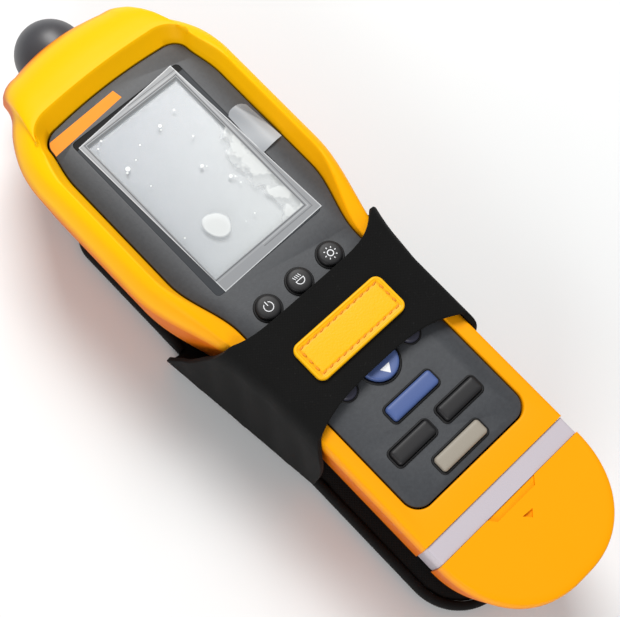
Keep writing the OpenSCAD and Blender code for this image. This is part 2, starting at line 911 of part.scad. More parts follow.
module ears() {
    linear_extrude(pad_t) polygon([[-ear_width(ear_end), ear_end],
        [-ear_width(ear_start), ear_start], [ear_width(ear_start), ear_start],
        [ear_width(ear_end), ear_end]]);
}

module holster_pad() {
    color("black") translate([0, 0, pad_z]) union() {
        linear_extrude(pad_t) polygon(closed(pad_outline(binding_w)));
        ears();
    }
}

module pad_binding() {
    color("dimgray") translate([0, 0, pad_z]) difference() {
        linear_extrude(pad_t) polygon(closed(pad_outline(0)));
        translate([0, 0, -cut]) linear_extrude(pad_t + 2 * cut)
            polygon(closed(pad_outline(binding_w)));
        translate([0, 0, -cut]) scale([1, 1, 2]) ears();
    }
}

// One section across the band, t out from its inner face
band_n = 9;
corner_steps = 4;
function band_ring(y, t, drop) =
    let (w = grip_width(y), c = w - grip_inset - (crest_inset - grip_inset)
        * (w - grip_half) / (head_half - grip_half))
    let (top = crest_height(y) + band_gap, base = ear_width(y) - band_t)
    let (half = concat(
        [for (k = [0 : corner_steps]) let (a = 90 - 90 * k / corner_steps)
            [c + band_gap + (w - c) * cos(a) + t * cos(a),
                wide_z + (top - wide_z) * sin(a) + t * sin(a)]],
        [[w + band_gap + t, wide_z - nose_drop / 2], [base + t, pad_top - drop]]))
    [for (p = half) [p[0], y, p[1]], for (k = [len(half) - 1 : -1 : 0]) [-half[k][0], y, half[k][1]]];

module band_loft(t, drop, y0, y1) {
    skin([for (k = [0 : band_n]) band_ring(y1 + (y0 - y1) * k / band_n, t, drop)], true);
}

// Both edges of the band are bowed across the front and slant along the sides
edge_n = 8;
upper_bow = 7.3;
lower_bow = 6.3;
bow_half = grip_half;
band_reach = head_half + cut;
module band_plan() {
    upper = [for (k = [-edge_n : edge_n]) let (u = k / edge_n)
        [u * bow_half, band_y + upper_bow * pow(abs(u), 6)]];
    lower = [for (k = [edge_n : -1 : -edge_n]) let (u = k / edge_n)
        [u * bow_half, band_end - lower_bow * pow(abs(u), 3)]];
    translate([0, 0, pad_z]) linear_extrude(crest_z) polygon(concat(upper,
        [[bow_half, ear_start + cut], [band_reach, ear_start + cut],
            [band_reach, ear_end - cut], [bow_half, ear_end - cut]],
        lower,
        [[-bow_half, ear_end - cut], [-band_reach, ear_end - cut],
            [-band_reach, ear_start + cut], [-bow_half, ear_start + cut]]));
}

module band_side() {
    translate([-band_reach, 0, 0]) rotate([90, 0, 90]) linear_extrude(2 * band_reach)
        polygon([[band_y + upper_bow, crest_z], [band_y + upper_bow, rim_z], [ear_start, pad_top],
            [ear_start, pad_z], [ear_end, pad_z], [ear_end, pad_top],
            [band_end - lower_bow, rim_z], [band_end - lower_bow, crest_z]]);
}

module holster_band() {
    y0 = ear_end - cut;
    y1 = ear_start + cut;
    color("black") intersection() {
        difference() {
            band_loft(band_t, 0, y0, y1);
            band_loft(0, cut, y0 - cut, y1 + cut);
        }
        band_plan();
        band_side();
    }
}

patch_corner = 2.6;
patch_drop = 1.5;
patch_y = (band_y + band_end) / 2 - patch_drop;
module band_patch() {
    patch_z = rim_z + band_gap + band_t;
    color("gold") plate(patch_l, patch_w, patch_corner, patch_z, patch_z + patch_t, patch_y);
}

loop_w = 44;
loop_l = 92;
loop_corner = 3;
module belt_loop() {
    color("black") plate(loop_w, loop_l, loop_corner, 0, loop_t, 0);
}

front_housing();
rear_housing();
housing_seal();
housing_screws();
face_panel();
display_lens();
screen_film();
lcd_module();
lcd_backlight();
main_board();
keypad_mat();
power_button();
torch_button();
backlight_button();
nav_key();
left_key();
right_key();
enter_key();
memory_key();
save_key();
setup_key();
sensor_tip();
sensor_body();
sensor_grommet();
sensor_cap();
ir_lens();
torch_lens();
usb_socket();
audio_jack();
sensor_socket();
light_ring();
battery_door();
battery_tray();
batteries();
battery_springs();
door_contact();
holster_pad();
pad_binding();
holster_band();
band_patch();
belt_loop();
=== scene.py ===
"""Handheld vibration meter in its belt holster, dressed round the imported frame."""

import math

import bmesh
import bpy
from mathutils import Matrix, Vector


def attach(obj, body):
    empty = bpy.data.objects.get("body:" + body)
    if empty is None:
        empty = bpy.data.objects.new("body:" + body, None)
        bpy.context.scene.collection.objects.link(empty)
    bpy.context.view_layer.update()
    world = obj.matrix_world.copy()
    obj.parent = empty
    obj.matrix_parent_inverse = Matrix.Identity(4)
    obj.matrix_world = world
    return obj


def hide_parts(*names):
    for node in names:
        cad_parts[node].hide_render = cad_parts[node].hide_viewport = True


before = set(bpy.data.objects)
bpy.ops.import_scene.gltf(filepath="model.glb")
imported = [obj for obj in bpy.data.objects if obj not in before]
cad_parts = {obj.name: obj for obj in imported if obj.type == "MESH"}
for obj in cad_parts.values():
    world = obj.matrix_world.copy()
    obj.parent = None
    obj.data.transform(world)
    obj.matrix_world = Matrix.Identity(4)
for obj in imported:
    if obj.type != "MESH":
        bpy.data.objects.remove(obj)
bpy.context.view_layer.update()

MM = 0.001

# ------------ camera

FOCAL_PX = 1485.08
FRAME_W = 620
EYE = Vector((-0.14024, -0.07914, 0.45452))
RIGHT = Vector((0.712191, -0.690666, 0.125552))
DOWN = Vector((-0.627846, -0.706704, -0.32616))
LOOK = Vector((0.313996, 0.153461, -0.93694))

camera = bpy.data.objects.new("camera", bpy.data.cameras.new("camera"))
bpy.context.scene.collection.objects.link(camera)
bpy.context.scene.camera = camera
camera.matrix_world = Matrix.Translation(EYE) @ Matrix((RIGHT, -DOWN, -LOOK)).transposed().to_4x4()
camera.data.sensor_width = 36
camera.data.lens = FOCAL_PX / FRAME_W * camera.data.sensor_width
camera.data.clip_start = 0.01
camera.data.clip_end = 20


# ------------ shader kit

class Val:
    """A socket of a shader tree, on which Python's operators add Math nodes."""

    def __init__(self, finish, socket):
        self.finish = finish
        self.socket = socket

    def math(self, operation, *others, clamp=False):
        return self.finish.node("Math", {"operation": operation, "use_clamp": clamp}, self, *others)

    def __add__(self, other):
        return self.math("ADD", other)

    def __sub__(self, other):
        return self.math("SUBTRACT", other)

    def __mul__(self, other):
        return self.math("MULTIPLY", other)

    def __rsub__(self, other):
        return self.finish.node("Math", {"operation": "SUBTRACT"}, other, self)

    def __lt__(self, other):
        return self.math("LESS_THAN", other)

    def __gt__(self, other):
        return self.math("GREATER_THAN", other)

    __radd__ = __add__
    __rmul__ = __mul__

    def clamp(self):
        return self.math("ADD", 0.0, clamp=True)


class Finish:
    """A material with its Principled shader, and the few ways that nodes are added to it."""

    def __init__(self, name, color, rough=0.5, **sockets):
        self.name = name
        self.mat = bpy.data.materials.new(name)
        self.mat.use_nodes = True
        self.tree = self.mat.node_tree
        self.shader = self.tree.nodes["Principled BSDF"]
        self.set(Base_Color=(*color, 1), Roughness=rough, **sockets)

    def set(self, **sockets):
        for name, value in sockets.items():
            self.put(value, self.shader.inputs[name.replace("_", " ")])

    def put(self, value, socket):
        if isinstance(value, Val):
            self.tree.links.new(value.socket, socket)
        else:
            socket.default_value = value

    def node(self, kind, settings=None, *inputs, out=0, **named):
        made = self.tree.nodes.new("ShaderNode" + kind)
        for name, value in (settings or {}).items():
            setattr(made, name, value)
        for slot, value in enumerate(inputs):
            self.put(value, made.inputs[slot])
        for name, value in named.items():
            self.put(value, made.inputs[name.replace("_", " ")])
        return Val(self, made.outputs[out])

    def place(self):
        return self.node("TexCoord", out=3)

    def parts(self, vector, count):
        """The first few numbers of a vector, as values of their own."""
        outputs = self.node("SeparateXYZ", None, vector).socket.node.outputs
        return [Val(self, outputs[k]) for k in range(count)]

    def axes(self):
        return self.parts(self.place(), 3)

    def uv(self):
        return self.parts(self.node("UVMap"), 2)

    def noise(self, scale, detail=3.0, rough=0.5):
        return self.node("TexNoise", None, self.place(), Scale=scale, Detail=detail, Roughness=rough)

    def mix(self, share, low, high):
        low, high = [(*c, 1) if isinstance(c, tuple) and len(c) == 3 else c for c in (low, high)]
        made = self.tree.nodes.new("ShaderNodeMix")
        made.data_type = "RGBA"
        for slot, value in ((0, share), (6, low), (7, high)):
            self.put(value, made.inputs[slot])
        return Val(self, made.outputs[2])

    def bump(self, height, distance, strength):
        return self.node("Bump", None, Height=height, Distance=distance, Strength=strength)


def dress(target, finish):
    """Gives an object, or a CAD node by name, one finish."""
    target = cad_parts[target] if isinstance(target, str) else target
    target.data.materials.clear()
    target.data.materials.append(finish.mat)


# ------------ finishes

def linear(r, g, b):
    """A colour given as it looks on a screen, from 0 to 255."""
    return tuple(((c / 255 + 0.055) / 1.055) ** 2.4 if c > 10 else c / 255 / 12.92 for c in (r, g, b))


def shell_plastic():
    made = Finish("shell_plastic", linear(252, 188, 4), 0.42, Specular_IOR_Level=0.1)
    grain = made.noise(2600.0, 2.0)
    cloud = made.noise(18.0, 2.0)
    _, y, z = made.axes()
    # painted light: the shell is painted lighter yellow towards the head and darker amber towards the battery
    # end, in place of the lamp's falloff along the meter
    head = ((y + 0.02) * 12.0).clamp()
    # painted shade: the lower side walls, below 45.2 mm, are painted deep orange
    low = ((0.0452 - z) * 190.0).clamp()
    tone = made.mix(head, linear(244, 160, 0), linear(252, 191, 0))
    made.set(Base_Color=made.mix(low * 0.92 + cloud * 0.08, tone, linear(206, 98, 0)),
             Roughness=0.4 + made.noise(60.0, 2.0) * 0.12,
             Normal=made.bump(grain, 0.00002, 0.5))
    return made


def panel_plastic():
    made = Finish("panel_plastic", linear(60, 63, 67), 0.5, Specular_IOR_Level=0.4)
    grain = made.noise(1900.0, 2.0)
    made.set(Base_Color=made.mix(made.noise(900.0, 3.0), linear(52, 54, 58), linear(66, 69, 73)),
             Normal=made.bump(grain, 0.00004, 0.6))
    return made


def plain(name, color, rough, grain=900.0, depth=0.00002, **sockets):
    """Moulded material with a fine grain and slightly uneven gloss."""
    made = Finish(name, color, rough, **sockets)
    made.set(Roughness=rough - 0.05 + made.noise(140.0, 2.0) * 0.1,
             Normal=made.bump(made.noise(grain, 2.0), depth, 0.5))
    return made


shell = shell_plastic()
panel = panel_plastic()
key_black = plain("key_black", linear(29, 29, 31), 0.5, Specular_IOR_Level=0.35)
key_dark = plain("key_dark", linear(52, 52, 66), 0.45, Specular_IOR_Level=0.35)
key_blue = plain("key_blue", linear(72, 92, 144), 0.45, Specular_IOR_Level=0.35)
key_grey = plain("key_grey", linear(150, 143, 131), 0.5, Specular_IOR_Level=0.35)
cap_rubber = plain("cap_rubber", linear(62, 62, 66), 0.42)
seal_rubber = plain("seal_rubber", linear(16, 16, 18), 0.6, Specular_IOR_Level=0.3)
ring_frost = plain("ring_frost", linear(188, 181, 189), 0.3)
black_plastic = plain("black_plastic", linear(38, 38, 40), 0.5)
steel = plain("steel", (0.62, 0.62, 0.63), 0.3, Metallic=1.0)
brass = plain("brass", (0.78, 0.6, 0.28), 0.28, Metallic=1.0)
silicone = plain("silicone", linear(120, 122, 124), 0.6)
light_guide = plain("light_guide", linear(240, 241, 241), 0.4)
dark_filter = plain("dark_filter", linear(40, 26, 36), 0.08)
clear_eye = plain("clear_eye", linear(226, 230, 232), 0.06)


def cloth(name, color, period, rough=0.88, depth=0.00012, twist=0.0):
    """Woven cloth: crossing threads, fuzzy lighter fibres and a soft unevenness."""
    made = Finish(name, color, rough, Sheen_Weight=0.02, Sheen_Roughness=0.5, Specular_IOR_Level=0.12)
    x, y, z = made.axes()
    rate = math.tau / period
    warp = ((x + z * 0.7) * rate + y * (rate * twist)).math("SINE")
    weft = ((y + z * 0.3) * rate).math("SINE")
    weave = warp * weft * 0.5 + 0.5
    fuzz = made.noise(2400.0, 3.0, 0.7)
    cloud = made.noise(70.0, 3.0)
    fibres = made.noise(1300.0, 4.0, 0.75)
    light, fluff = (tuple(min(1, c * gain + lift) for c in color) for gain, lift in ((2.6, 0.006), (5, 0.02)))
    tone = made.mix(weave * 0.35 + cloud * 0.25, color, light)
    made.set(Base_Color=made.mix((fibres > 0.64) * 0.25, tone, fluff),
             Roughness=rough - 0.08 + fuzz * 0.12,
             Normal=made.bump(weave + fuzz * 0.6, depth, 0.6))
    return made


def patch_finish():
    """Moulded yellow rubber, pulled in along its line of stitches, with painted shade along the stitches and
    along the step of its rim.
    """
    made = Finish("patch_yellow", linear(240, 176, 4), 0.45, Specular_IOR_Level=0.2)
    x, y, _ = made.axes()
    side = ((x + 0.00055).math("ABSOLUTE") - 0.01575).math(
        "MAXIMUM", (y + 0.025).math("ABSOLUTE") - 0.0048)
    # painted shade: seam darkens the puckered line of stitches
    seam = ((side.math("ABSOLUTE") * -1600.0) + 1.0).clamp()
    # painted shade: lip darkens the step of the patch's rim
    lip = (((side - 0.00095).math("ABSOLUTE") * -5000.0) + 1.0).clamp()
    worn = made.noise(260.0, 3.0)
    tone = made.mix(worn * 0.25, linear(242, 180, 4), linear(233, 164, 3))
    made.set(Base_Color=made.mix((seam * 0.5 + lip * 0.3).clamp(), tone, linear(214, 120, 6)),
             Roughness=0.36 + worn * 0.16, Normal=made.bump(made.noise(1500.0) - seam * 1.6, 0.00012, 0.6))
    return made


band_cloth = cloth("band_cloth", linear(6, 6, 6), 0.0007, depth=0.00008)
pad_cloth = cloth("pad_cloth", linear(11, 11, 11), 0.0011, depth=0.00015)
tape_cloth = cloth("tape_cloth", linear(10, 10, 10), 0.0008, rough=0.8)
webbing = cloth("webbing", linear(24, 24, 25), 0.0016, rough=0.78, depth=0.0002, twist=0.5)
thread_orange = plain("thread_orange", linear(226, 140, 8), 0.6, grain=4000.0)
thread_black = plain("thread_black", linear(30, 30, 31), 0.7, grain=4000.0)


# ------------ making pieces, in millimetres

def points_3d(flat, z):
    """A flat outline set at a height."""
    return [(x, y, z) for x, y in flat]


def loop(shape, points):
    verts = [shape.verts.new(p) for p in points]
    return verts, [shape.edges.new((a, b)) for a, b in zip(verts, verts[1:] + verts[:1])]


def stack(rings, close_first=False, close_last=False, close_round=False):
    """A skin over closed rings, each bridged to the next."""
    shape = bmesh.new()
    loops = [loop(shape, ring) for ring in rings]
    pairs = list(zip(loops, loops[1:]))
    if close_round:
        pairs.append((loops[-1], loops[0]))
    for low, high in pairs:
        bmesh.ops.bridge_loops(shape, edges=low[1] + high[1])
    for wanted, end in ((close_first, loops[0]), (close_last, loops[-1])):
        if wanted:
            shape.faces.new(end[0])
    return shape


def lathe(profile, centre, axis="Z", steps=64):
    """A turned form: profile is (radius, place along the axis)."""
    shape = bmesh.new()
    along = {"Z": lambda r, h: (r, 0, h), "Y": lambda r, h: (r, h, 0), "X": lambda r, h: (h, r, 0)}[axis]
    turn = {"Z": (0, 0, 1), "Y": (0, 1, 0), "X": (1, 0, 0)}[axis]
    verts = [shape.verts.new(along(r, h)) for r, h in profile]
    edges = [shape.edges.new(pair) for pair in zip(verts, verts[1:])]
    bmesh.ops.spin(shape, geom=verts + edges, cent=(0, 0, 0), axis=turn, angle=math.tau, steps=steps,
                   use_merge=True)
    bmesh.ops.remove_doubles(shape, verts=shape.verts, dist=0.0005)
    bmesh.ops.translate(shape, verts=shape.verts, vec=centre)
    return shape


def prism(flat, low, high):
    """A straight block with a flat outline, between two heights."""
    return stack([points_3d(flat, z) for z in (low, high)], True, True)


def piece(name, shape, finish, body="meter", nodes=(), sharp=38, closed=True):
    """Turns a shape drawn in millimetres into a piece of the scene."""
    bmesh.ops.scale(shape, verts=shape.verts, vec=(MM, MM, MM))
    if closed:
        bmesh.ops.recalc_face_normals(shape, faces=shape.faces)
    for face in shape.faces:
        face.smooth = True
    mesh = bpy.data.meshes.new(name)
    shape.to_mesh(mesh)
    shape.free()
    if sharp:
        mesh.set_sharp_from_angle(angle=math.radians(sharp))
    made = bpy.data.objects.new(name, mesh)
    bpy.context.scene.collection.objects.link(made)
    mesh.materials.append(finish.mat)
    if body:
        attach(made, body)
    if nodes:
        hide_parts(*nodes)
    return made


def modify(made, kind, **settings):
    added = made.modifiers.new(kind.lower(), kind)
    for name, value in settings.items():
        setattr(added, name, value)


def bake(made, sharp=38):
    """Applies the modifiers for good."""
    graph = bpy.context.evaluated_depsgraph_get()
    mesh = bpy.data.meshes.new_from_object(made.evaluated_get(graph))
    made.modifiers.clear()
    made.data = mesh
    mesh.name = made.name
    mesh.set_sharp_from_angle(angle=math.radians(sharp))


def carve(made, *cutters, sharp=38):
    """Cuts each shape, drawn in millimetres, out of a piece."""
    tools = []
    for cutter in cutters:
        tool = piece(made.name + "_cutter", cutter, black_plastic, body=None)
        modify(made, "BOOLEAN", operation="DIFFERENCE", solver="EXACT", object=tool)
        tools.append(tool)
    bake(made, sharp)
    for tool in tools:
        bpy.data.objects.remove(tool)


def trim(shape, place, keep):
    """Cuts a shape with a plane and keeps the side that keep points to."""
    bmesh.ops.bisect_plane(shape, geom=shape.verts[:] + shape.edges[:] + shape.faces[:], dist=1e-6,
                           plane_co=place, plane_no=keep, clear_inner=True)
    return shape


def merged(*shapes):
    """One shape holding several."""
    mesh = bpy.data.meshes.new("merging")
    whole = bmesh.new()
    for shape in shapes:
        shape.to_mesh(mesh)
        shape.free()
        whole.from_mesh(mesh)
    bpy.data.meshes.remove(mesh)
    return whole


# ------------ outlines of the meter

NOSE_Y, CREST_Y, WAIST_Y = 107.4, 85.5, -13.4
BACK_Z, SPLIT_Z, FLOOR_Z, PANEL_Z, RIM_Z, CREST_Z, WIDE_Z = 5.4, 38.0, 44.2, 46.4, 48.4, 51.6, 42.0
RING_Y, DOOR_Y = -85.4, -91.8
SENSOR_Z = 27.4
CAP_SET = 2.2
GRIP_HALF, HEAD_HALF = 29.2, 38.2
END_EXTRA, END_FULLNESS = 1.3, 0.94
HEAD_LEAN, RIM_LEAN = 0.9, 0.7
GRIP_RIM_Z = 46.9


def clamp(u):
    return min(1.0, max(0.0, u))


def ease(u):
    return u * u * (3 - 2 * u)


def smooth_through(knots, count):
    """Points on a soft curve through a few given ones."""
    line = []
    ends = [knots[0]] + list(knots) + [knots[-1]]
    for p0, p1, p2, p3 in zip(ends, ends[1:], ends[2:], ends[3:]):
        for k in range(count):
            u = k / count
            line.append(tuple(0.5 * (2 * b + (c - a) * u + (2 * a - 5 * b + 4 * c - d) * u * u
                                     + (3 * b - a - 3 * c + d) * u ** 3)
                              for a, b, c, d in zip(p0, p1, p2, p3)))
    return line + [tuple(knots[-1])]


def crest_height(y):
    return RIM_Z + (CREST_Z - RIM_Z) * ease(clamp((y - WAIST_Y) / 36))


def wide_height(y):
    return WIDE_Z - 1.7 * ease(clamp((y - WAIST_Y) / 50)) - 9.2 * ease(clamp((y - CREST_Y + 6) / 28))


def grip_width(y):
    return GRIP_HALF + 9.6 * ease(clamp((y - WAIST_Y) / 40))


def body_outline(top, top_half, sag, corner, corner_y, side_y, side_half, bend_y, grip_y, grip, end_y,
                 end_r, end_l, fullness=1.0, widening=None):
    """Half of the meter's plan, from the middle of the nose round to the middle of the battery end."""
    edge_x = top_half - corner
    edge_y = top - sag * (edge_x / top_half) ** 2
    half = [(edge_x * k / 10, top - sag * (edge_x * k / 10 / top_half) ** 2) for k in range(10)]
    for k in range(12):
        a = math.radians(90 * k / 12)
        half.append((edge_x + corner * math.sin(a), corner_y + (edge_y - corner_y) * math.cos(a)))
    for k in range(18):
        u = k / 18
        share = widening[k] if widening else ease(u ** 0.8)
        half.append((top_half + (side_half - top_half) * share, corner_y + (side_y - corner_y) * u))
    half += [(side_half, side_y + (bend_y - side_y) * k / 6) for k in range(6)]
    for k in range(16):
        u = k / 16
        half.append((side_half + (grip - side_half) * ease(u), bend_y + (grip_y - bend_y) * u))
    half += [(grip, grip_y + (end_y - grip_y) * k / 10) for k in range(10)]
    for k in range(25):
        a = math.radians(90 * k / 24)
        half.append((grip - end_r + end_r * math.cos(a) ** fullness, end_y - end_l * math.sin(a) ** fullness))
    return half


def whole(half, lean=0.0):
    """Both halves of an outline as one closed ring; the head's right side may lie nearer to the middle."""
    left = [(-x, y) for x, y in half[1:] if x > 1e-6]
    right = [(x - lean * clamp(x / 20) * ease(clamp((y + 5) / 30)), y) for x, y in half]
    return right + left[::-1]


SHOULDER_KNOTS = [(0, 0), (0.17, 0.14), (0.34, 0.44), (0.5, 0.68), (0.67, 0.86), (0.84, 0.96), (1, 1)]
SHOULDER = [share for _, share in smooth_through(SHOULDER_KNOTS, 3)][:18]


def wide_outline():
    return whole(body_outline(NOSE_Y, 24.3, 5, 7.5, NOSE_Y - 7.5, 67.6, HEAD_HALF, 26.6, WAIST_Y, GRIP_HALF,
                              DOOR_Y, 27.2, 29.2 + END_EXTRA, END_FULLNESS, SHOULDER), HEAD_LEAN)


def crest_outline():
    return whole(body_outline(CREST_Y, 30.2, 1.8, 9.6, 77.0, 61.6, 33.4, 24.6, -7.4, 28.0, DOOR_Y, 26.0,
                              28.0 + END_EXTRA, END_FULLNESS), RIM_LEAN)


def back_outline():
    return whole(body_outline(92, 16, 5, 7, 84.5, 63.5, 26, 26.6, WAIST_Y, 18, DOOR_Y, 16, 18 + END_EXTRA,
                              END_FULLNESS))


def panel_outline(d=0.0):
    return whole(body_outline(81 - d, 27.6 - d, 2, 6.4, 74.3, 61.5, 29.6 - d, 20.6, -4.4, 24.2 - d,
                              -71.8 + d / 2, 5.7 - d / 2, 5.7 - d / 2))


def recess_outline():
    return whole(body_outline(CREST_Y - 0.4, 29.8, 1.8, 9.6, 76.8, 61.6, 33.0, 24.4, -7.0, 24.5, -71.8, 6.0,
                              6.0), RIM_LEAN)


def rim_height(y):
    """The rim stands high round the head and is nearly level with the panel along the grip."""
    return GRIP_RIM_Z + (CREST_Z - GRIP_RIM_Z) * ease(clamp((y - WAIST_Y) / 36))


def between(a, b, share):
    return tuple(p + (q - p) * share for p, q in zip(a, b))


def bent(a, corner, b, count):
    """Points on a soft bend from a to b that turns at a corner."""
    return [between(between(a, corner, k / count), between(corner, b, k / count), k / count)
            for k in range(count + 1)]


REAR_WALL = smooth_through([(0, 0), (0.5, 0.76), (0.64, 0.9), (0.8, 0.97), (1, 1)], 3)


def housing_form():
    """The whole outer skin of the meter, with the raised rim and the panel's recess."""
    rings = []
    wide, crest, back = wide_outline(), crest_outline(), back_outline()
    recess, panel_edge = recess_outline(), panel_outline()
    for s0, s1 in REAR_WALL[::-1]:
        rings.append([(w[0] + (b[0] - w[0]) * s0, w[1] + (b[1] - w[1]) * s0,
                       wide_height(w[1]) + (BACK_Z - wide_height(w[1])) * s1)
                      for w, b in zip(wide, back)])
    sections = []
    for w, c, r, p in zip(wide, crest, recess, panel_edge):
        zw, zc, zr = wide_height(w[1]), rim_height(c[1]), rim_height(r[1])
        ridge, lip, foot = (*c, zc), (*r, zr), (*p, PANEL_Z)
        arc = []
        round_share = 0.62 + 0.38 * ease(clamp((w[1] - WAIST_Y) / 40))
        for t in (10, 21, 32, 44, 56, 66):
            share, lift = (f(math.radians(t)) ** round_share for f in (math.cos, math.sin))
            arc.append((c[0] + (w[0] - c[0]) * share, c[1] + (w[1] - c[1]) * share, zw + (zc - zw) * lift))
        flat = math.dist(ridge, lip)
        outer = between(ridge, lip, min(0.5, 3.0 / max(flat, 0.01)))
        inner = between(lip, ridge, min(0.5, 1.0 / max(flat, 0.01)))
        slope = between(lip, foot, 0.34)
        narrow = ease(clamp(1.5 - flat / 2.5))
        top = (ridge[0], ridge[1], ridge[2] + 0.1 + 0.3 * narrow)
        brow = (lip[0], lip[1], lip[2] + 0.4 * narrow)
        sections.append(arc + bent(arc[-1], top, outer, 4)[1:] + bent(inner, brow, slope, 4)[1:]
                        + [between(slope, foot, 0.5), foot, (*p, FLOOR_Z - 0.2)])
    rings += [list(ring) for ring in zip(*sections)]
    return stack(rings, close_first=True)


def bore(radius, start, end, axis, cross):
    """A round hole: start and end lie along the axis, cross gives its other two places."""
    profile = [(0, start), (radius, start), (radius, end), (0, end)]
    a, b = cross
    centre = {"X": (0, a, b), "Y": (a, 0, b), "Z": (a, b, 0)}[axis]
    return lathe(profile, centre, axis, 48)


SCREWS = [(x, y) for x in (-27, 27) for y in (72, 24.6)]
SEAM = 0.1
SENSOR_HOLE_R, EYE_R, EYE_X = 11.9, 2.65, 15.8
JACK_R, JACK_Y, PLUG_R, PLUG_Y, SOCKET_Z = 3.1, 38.3, 3.7, 49.3, 25.4
USB_SLOT = [(30, 55.7), (45, 55.7), (45, 64.9), (30, 64.9)]
SCREW_WELL_R = 2.8
FRONT_WALL, OTHER_WALL, EDGE_ROUND = 0.9, 2.2, 0.22
RING_INSET, GASKET_INSET, GASKET_WALL = 0.55, 0.45, 1.5
THUMB_FLOOR_Z, MARK_FLOOR_Z, ABOVE_Z = 45.9, 46.1, 50


def make_shells():
    form = housing_form()
    front = trim(form.copy(), (0, 0, SPLIT_Z + SEAM), (0, 0, 1))
    trim(front, (0, RING_Y, 0), (0, 1, 0))
    rear = trim(form.copy(), (0, 0, SPLIT_Z - SEAM), (0, 0, -1))
    trim(rear, (0, RING_Y, 0), (0, 1, 0))
    gasket = trim(trim(form.copy(), (0, 0, SPLIT_Z - SEAM), (0, 0, 1)), (0, 0, SPLIT_Z + SEAM), (0, 0, -1))
    bmesh.ops.recalc_face_normals(trim(gasket, (0, RING_Y, 0), (0, 1, 0)), faces=gasket.faces)
    gasket.normal_update()
    door = trim(form.copy(), (0, DOOR_Y, 0), (0, -1, 0))
    ring = trim(trim(form, (0, RING_Y - SEAM, 0), (0, -1, 0)), (0, DOOR_Y + SEAM, 0), (0, 1, 0))
    eyes = [bore(EYE_R, 95, 112, "Y", (x, SENSOR_Z)) for x in (-EYE_X, EYE_X)]
    bmesh.ops.recalc_face_normals(ring, faces=ring.faces)
    ring.normal_update()
    for vert in ring.verts:
        vert.co -= Vector((vert.normal.x, 0, vert.normal.z)) * RING_INSET
    front = piece("front_shell", front, shell, nodes=["front_housing"])
    rear = piece("rear_shell", rear, shell, nodes=["rear_housing"])
    door = piece("door_shell", door, shell, "battery_door", ["battery_door"])
    ring = piece("ring_band", ring, ring_frost, nodes=["light_ring"])
    for made in (front, rear, door, ring):
        modify(made, "SOLIDIFY", thickness=(FRONT_WALL if made is front else OTHER_WALL) * MM, offset=-1,
               use_even_offset=False)
        bake(made)
    sensor_hole = bore(SENSOR_HOLE_R, 90, 115, "Y", (0, SENSOR_Z))
    carve(front, sensor_hole.copy())
    sockets = [bore(JACK_R, 30, 45, "X", (JACK_Y, SOCKET_Z)), bore(PLUG_R, 30, 45, "X", (PLUG_Y, SOCKET_Z)),
               prism(USB_SLOT, 22.8, 28.0)]
    wells = [bore(SCREW_WELL_R, 0, 22, "Z", place) for place in SCREWS]
    carve(rear, sensor_hole, *eyes, *sockets, *wells)
    for vert in gasket.verts:
        vert.co -= vert.normal * GASKET_INSET
    gasket = piece("seam_gasket", gasket, seal_rubber, nodes=["housing_seal"])
    modify(gasket, "SOLIDIFY", thickness=GASKET_WALL * MM, offset=-1, use_even_offset=False)
    bake(gasket)
    notch = [(-10.0, DOOR_Y + 1), (9.8, DOOR_Y + 1), (9.8, DOOR_Y), (7.8, -94.1), (-8.1, -94.1),
             (-10.0, DOOR_Y)]
    mark = [(-1.6, -97.9), (2.3, -98.2), (0.4, -100.1)]
    carve(door, prism(notch, THUMB_FLOOR_Z, ABOVE_Z), prism(mark, MARK_FLOOR_Z, ABOVE_Z))
    for made in (front, rear, door, ring):
        modify(made, "BEVEL", width=EDGE_ROUND * MM, segments=2, limit_method="ANGLE",
               angle_limit=math.radians(50), harden_normals=False)


make_shells()


# ------------ face panel and display

BUTTON_Y, NAV_Y, ENTER_Y, PAIR_Y, SETUP_Y = -4.1, -37.3, -51.4, -61.4, -71.4
WIDE_KEYS = {"enter_key": (0, ENTER_Y, 18.2), "memory_key": (9.75, PAIR_Y, 15.2),
             "save_key": (-9.75, PAIR_Y, 15.2), "setup_key": (0, SETUP_Y, 18.2)}
BUTTON_X, BUTTON_R = 12.7, 3.9
ROUND_KEYS = {"power_button": (-BUTTON_X, BUTTON_Y, BUTTON_R), "torch_button": (0, BUTTON_Y, BUTTON_R),
              "backlight_button": (BUTTON_X, BUTTON_Y, BUTTON_R), "left_key": (-13.1, NAV_Y, 3.1),
              "right_key": (13.1, NAV_Y, 3.1)}
WINDOW_MID, WINDOW_W, WINDOW_L = 40.3, 42.6, 64.6
KEY_W, KEY_GAP, BUTTON_LIP = 5.1, 0.25, 0.65
ROCKER_OUTER_R, ROCKER_INNER_R = 7.2, 6.5


def rounded(w, l, r, centre=(0, 0), inset=0.0, steps=6):
    """A rectangle with round corners, as a flat ring."""
    w, l, r = w / 2 - inset, l / 2 - inset, max(r - inset, 0.02)
    ring = []
    for turn, (sx, sy) in enumerate(((1, 1), (-1, 1), (-1, -1), (1, -1))):
        for k in range(steps + 1):
            a = math.radians(90 * turn + 90 * k / steps)
            ring.append((centre[0] + sx * (w - r) + r * math.cos(a),
                         centre[1] + sy * (l - r) + r * math.sin(a)))
    return ring


def circle(r, centre, steps=48):
    return [(centre[0] + r * math.cos(math.tau * k / steps), centre[1] + r * math.sin(math.tau * k / steps))
            for k in range(steps)]


def build_up(profile, outline):
    """A form whose rings are one outline at an inset and a height each."""
    return stack([points_3d(outline(inset), z) for inset, z in profile], True, True)


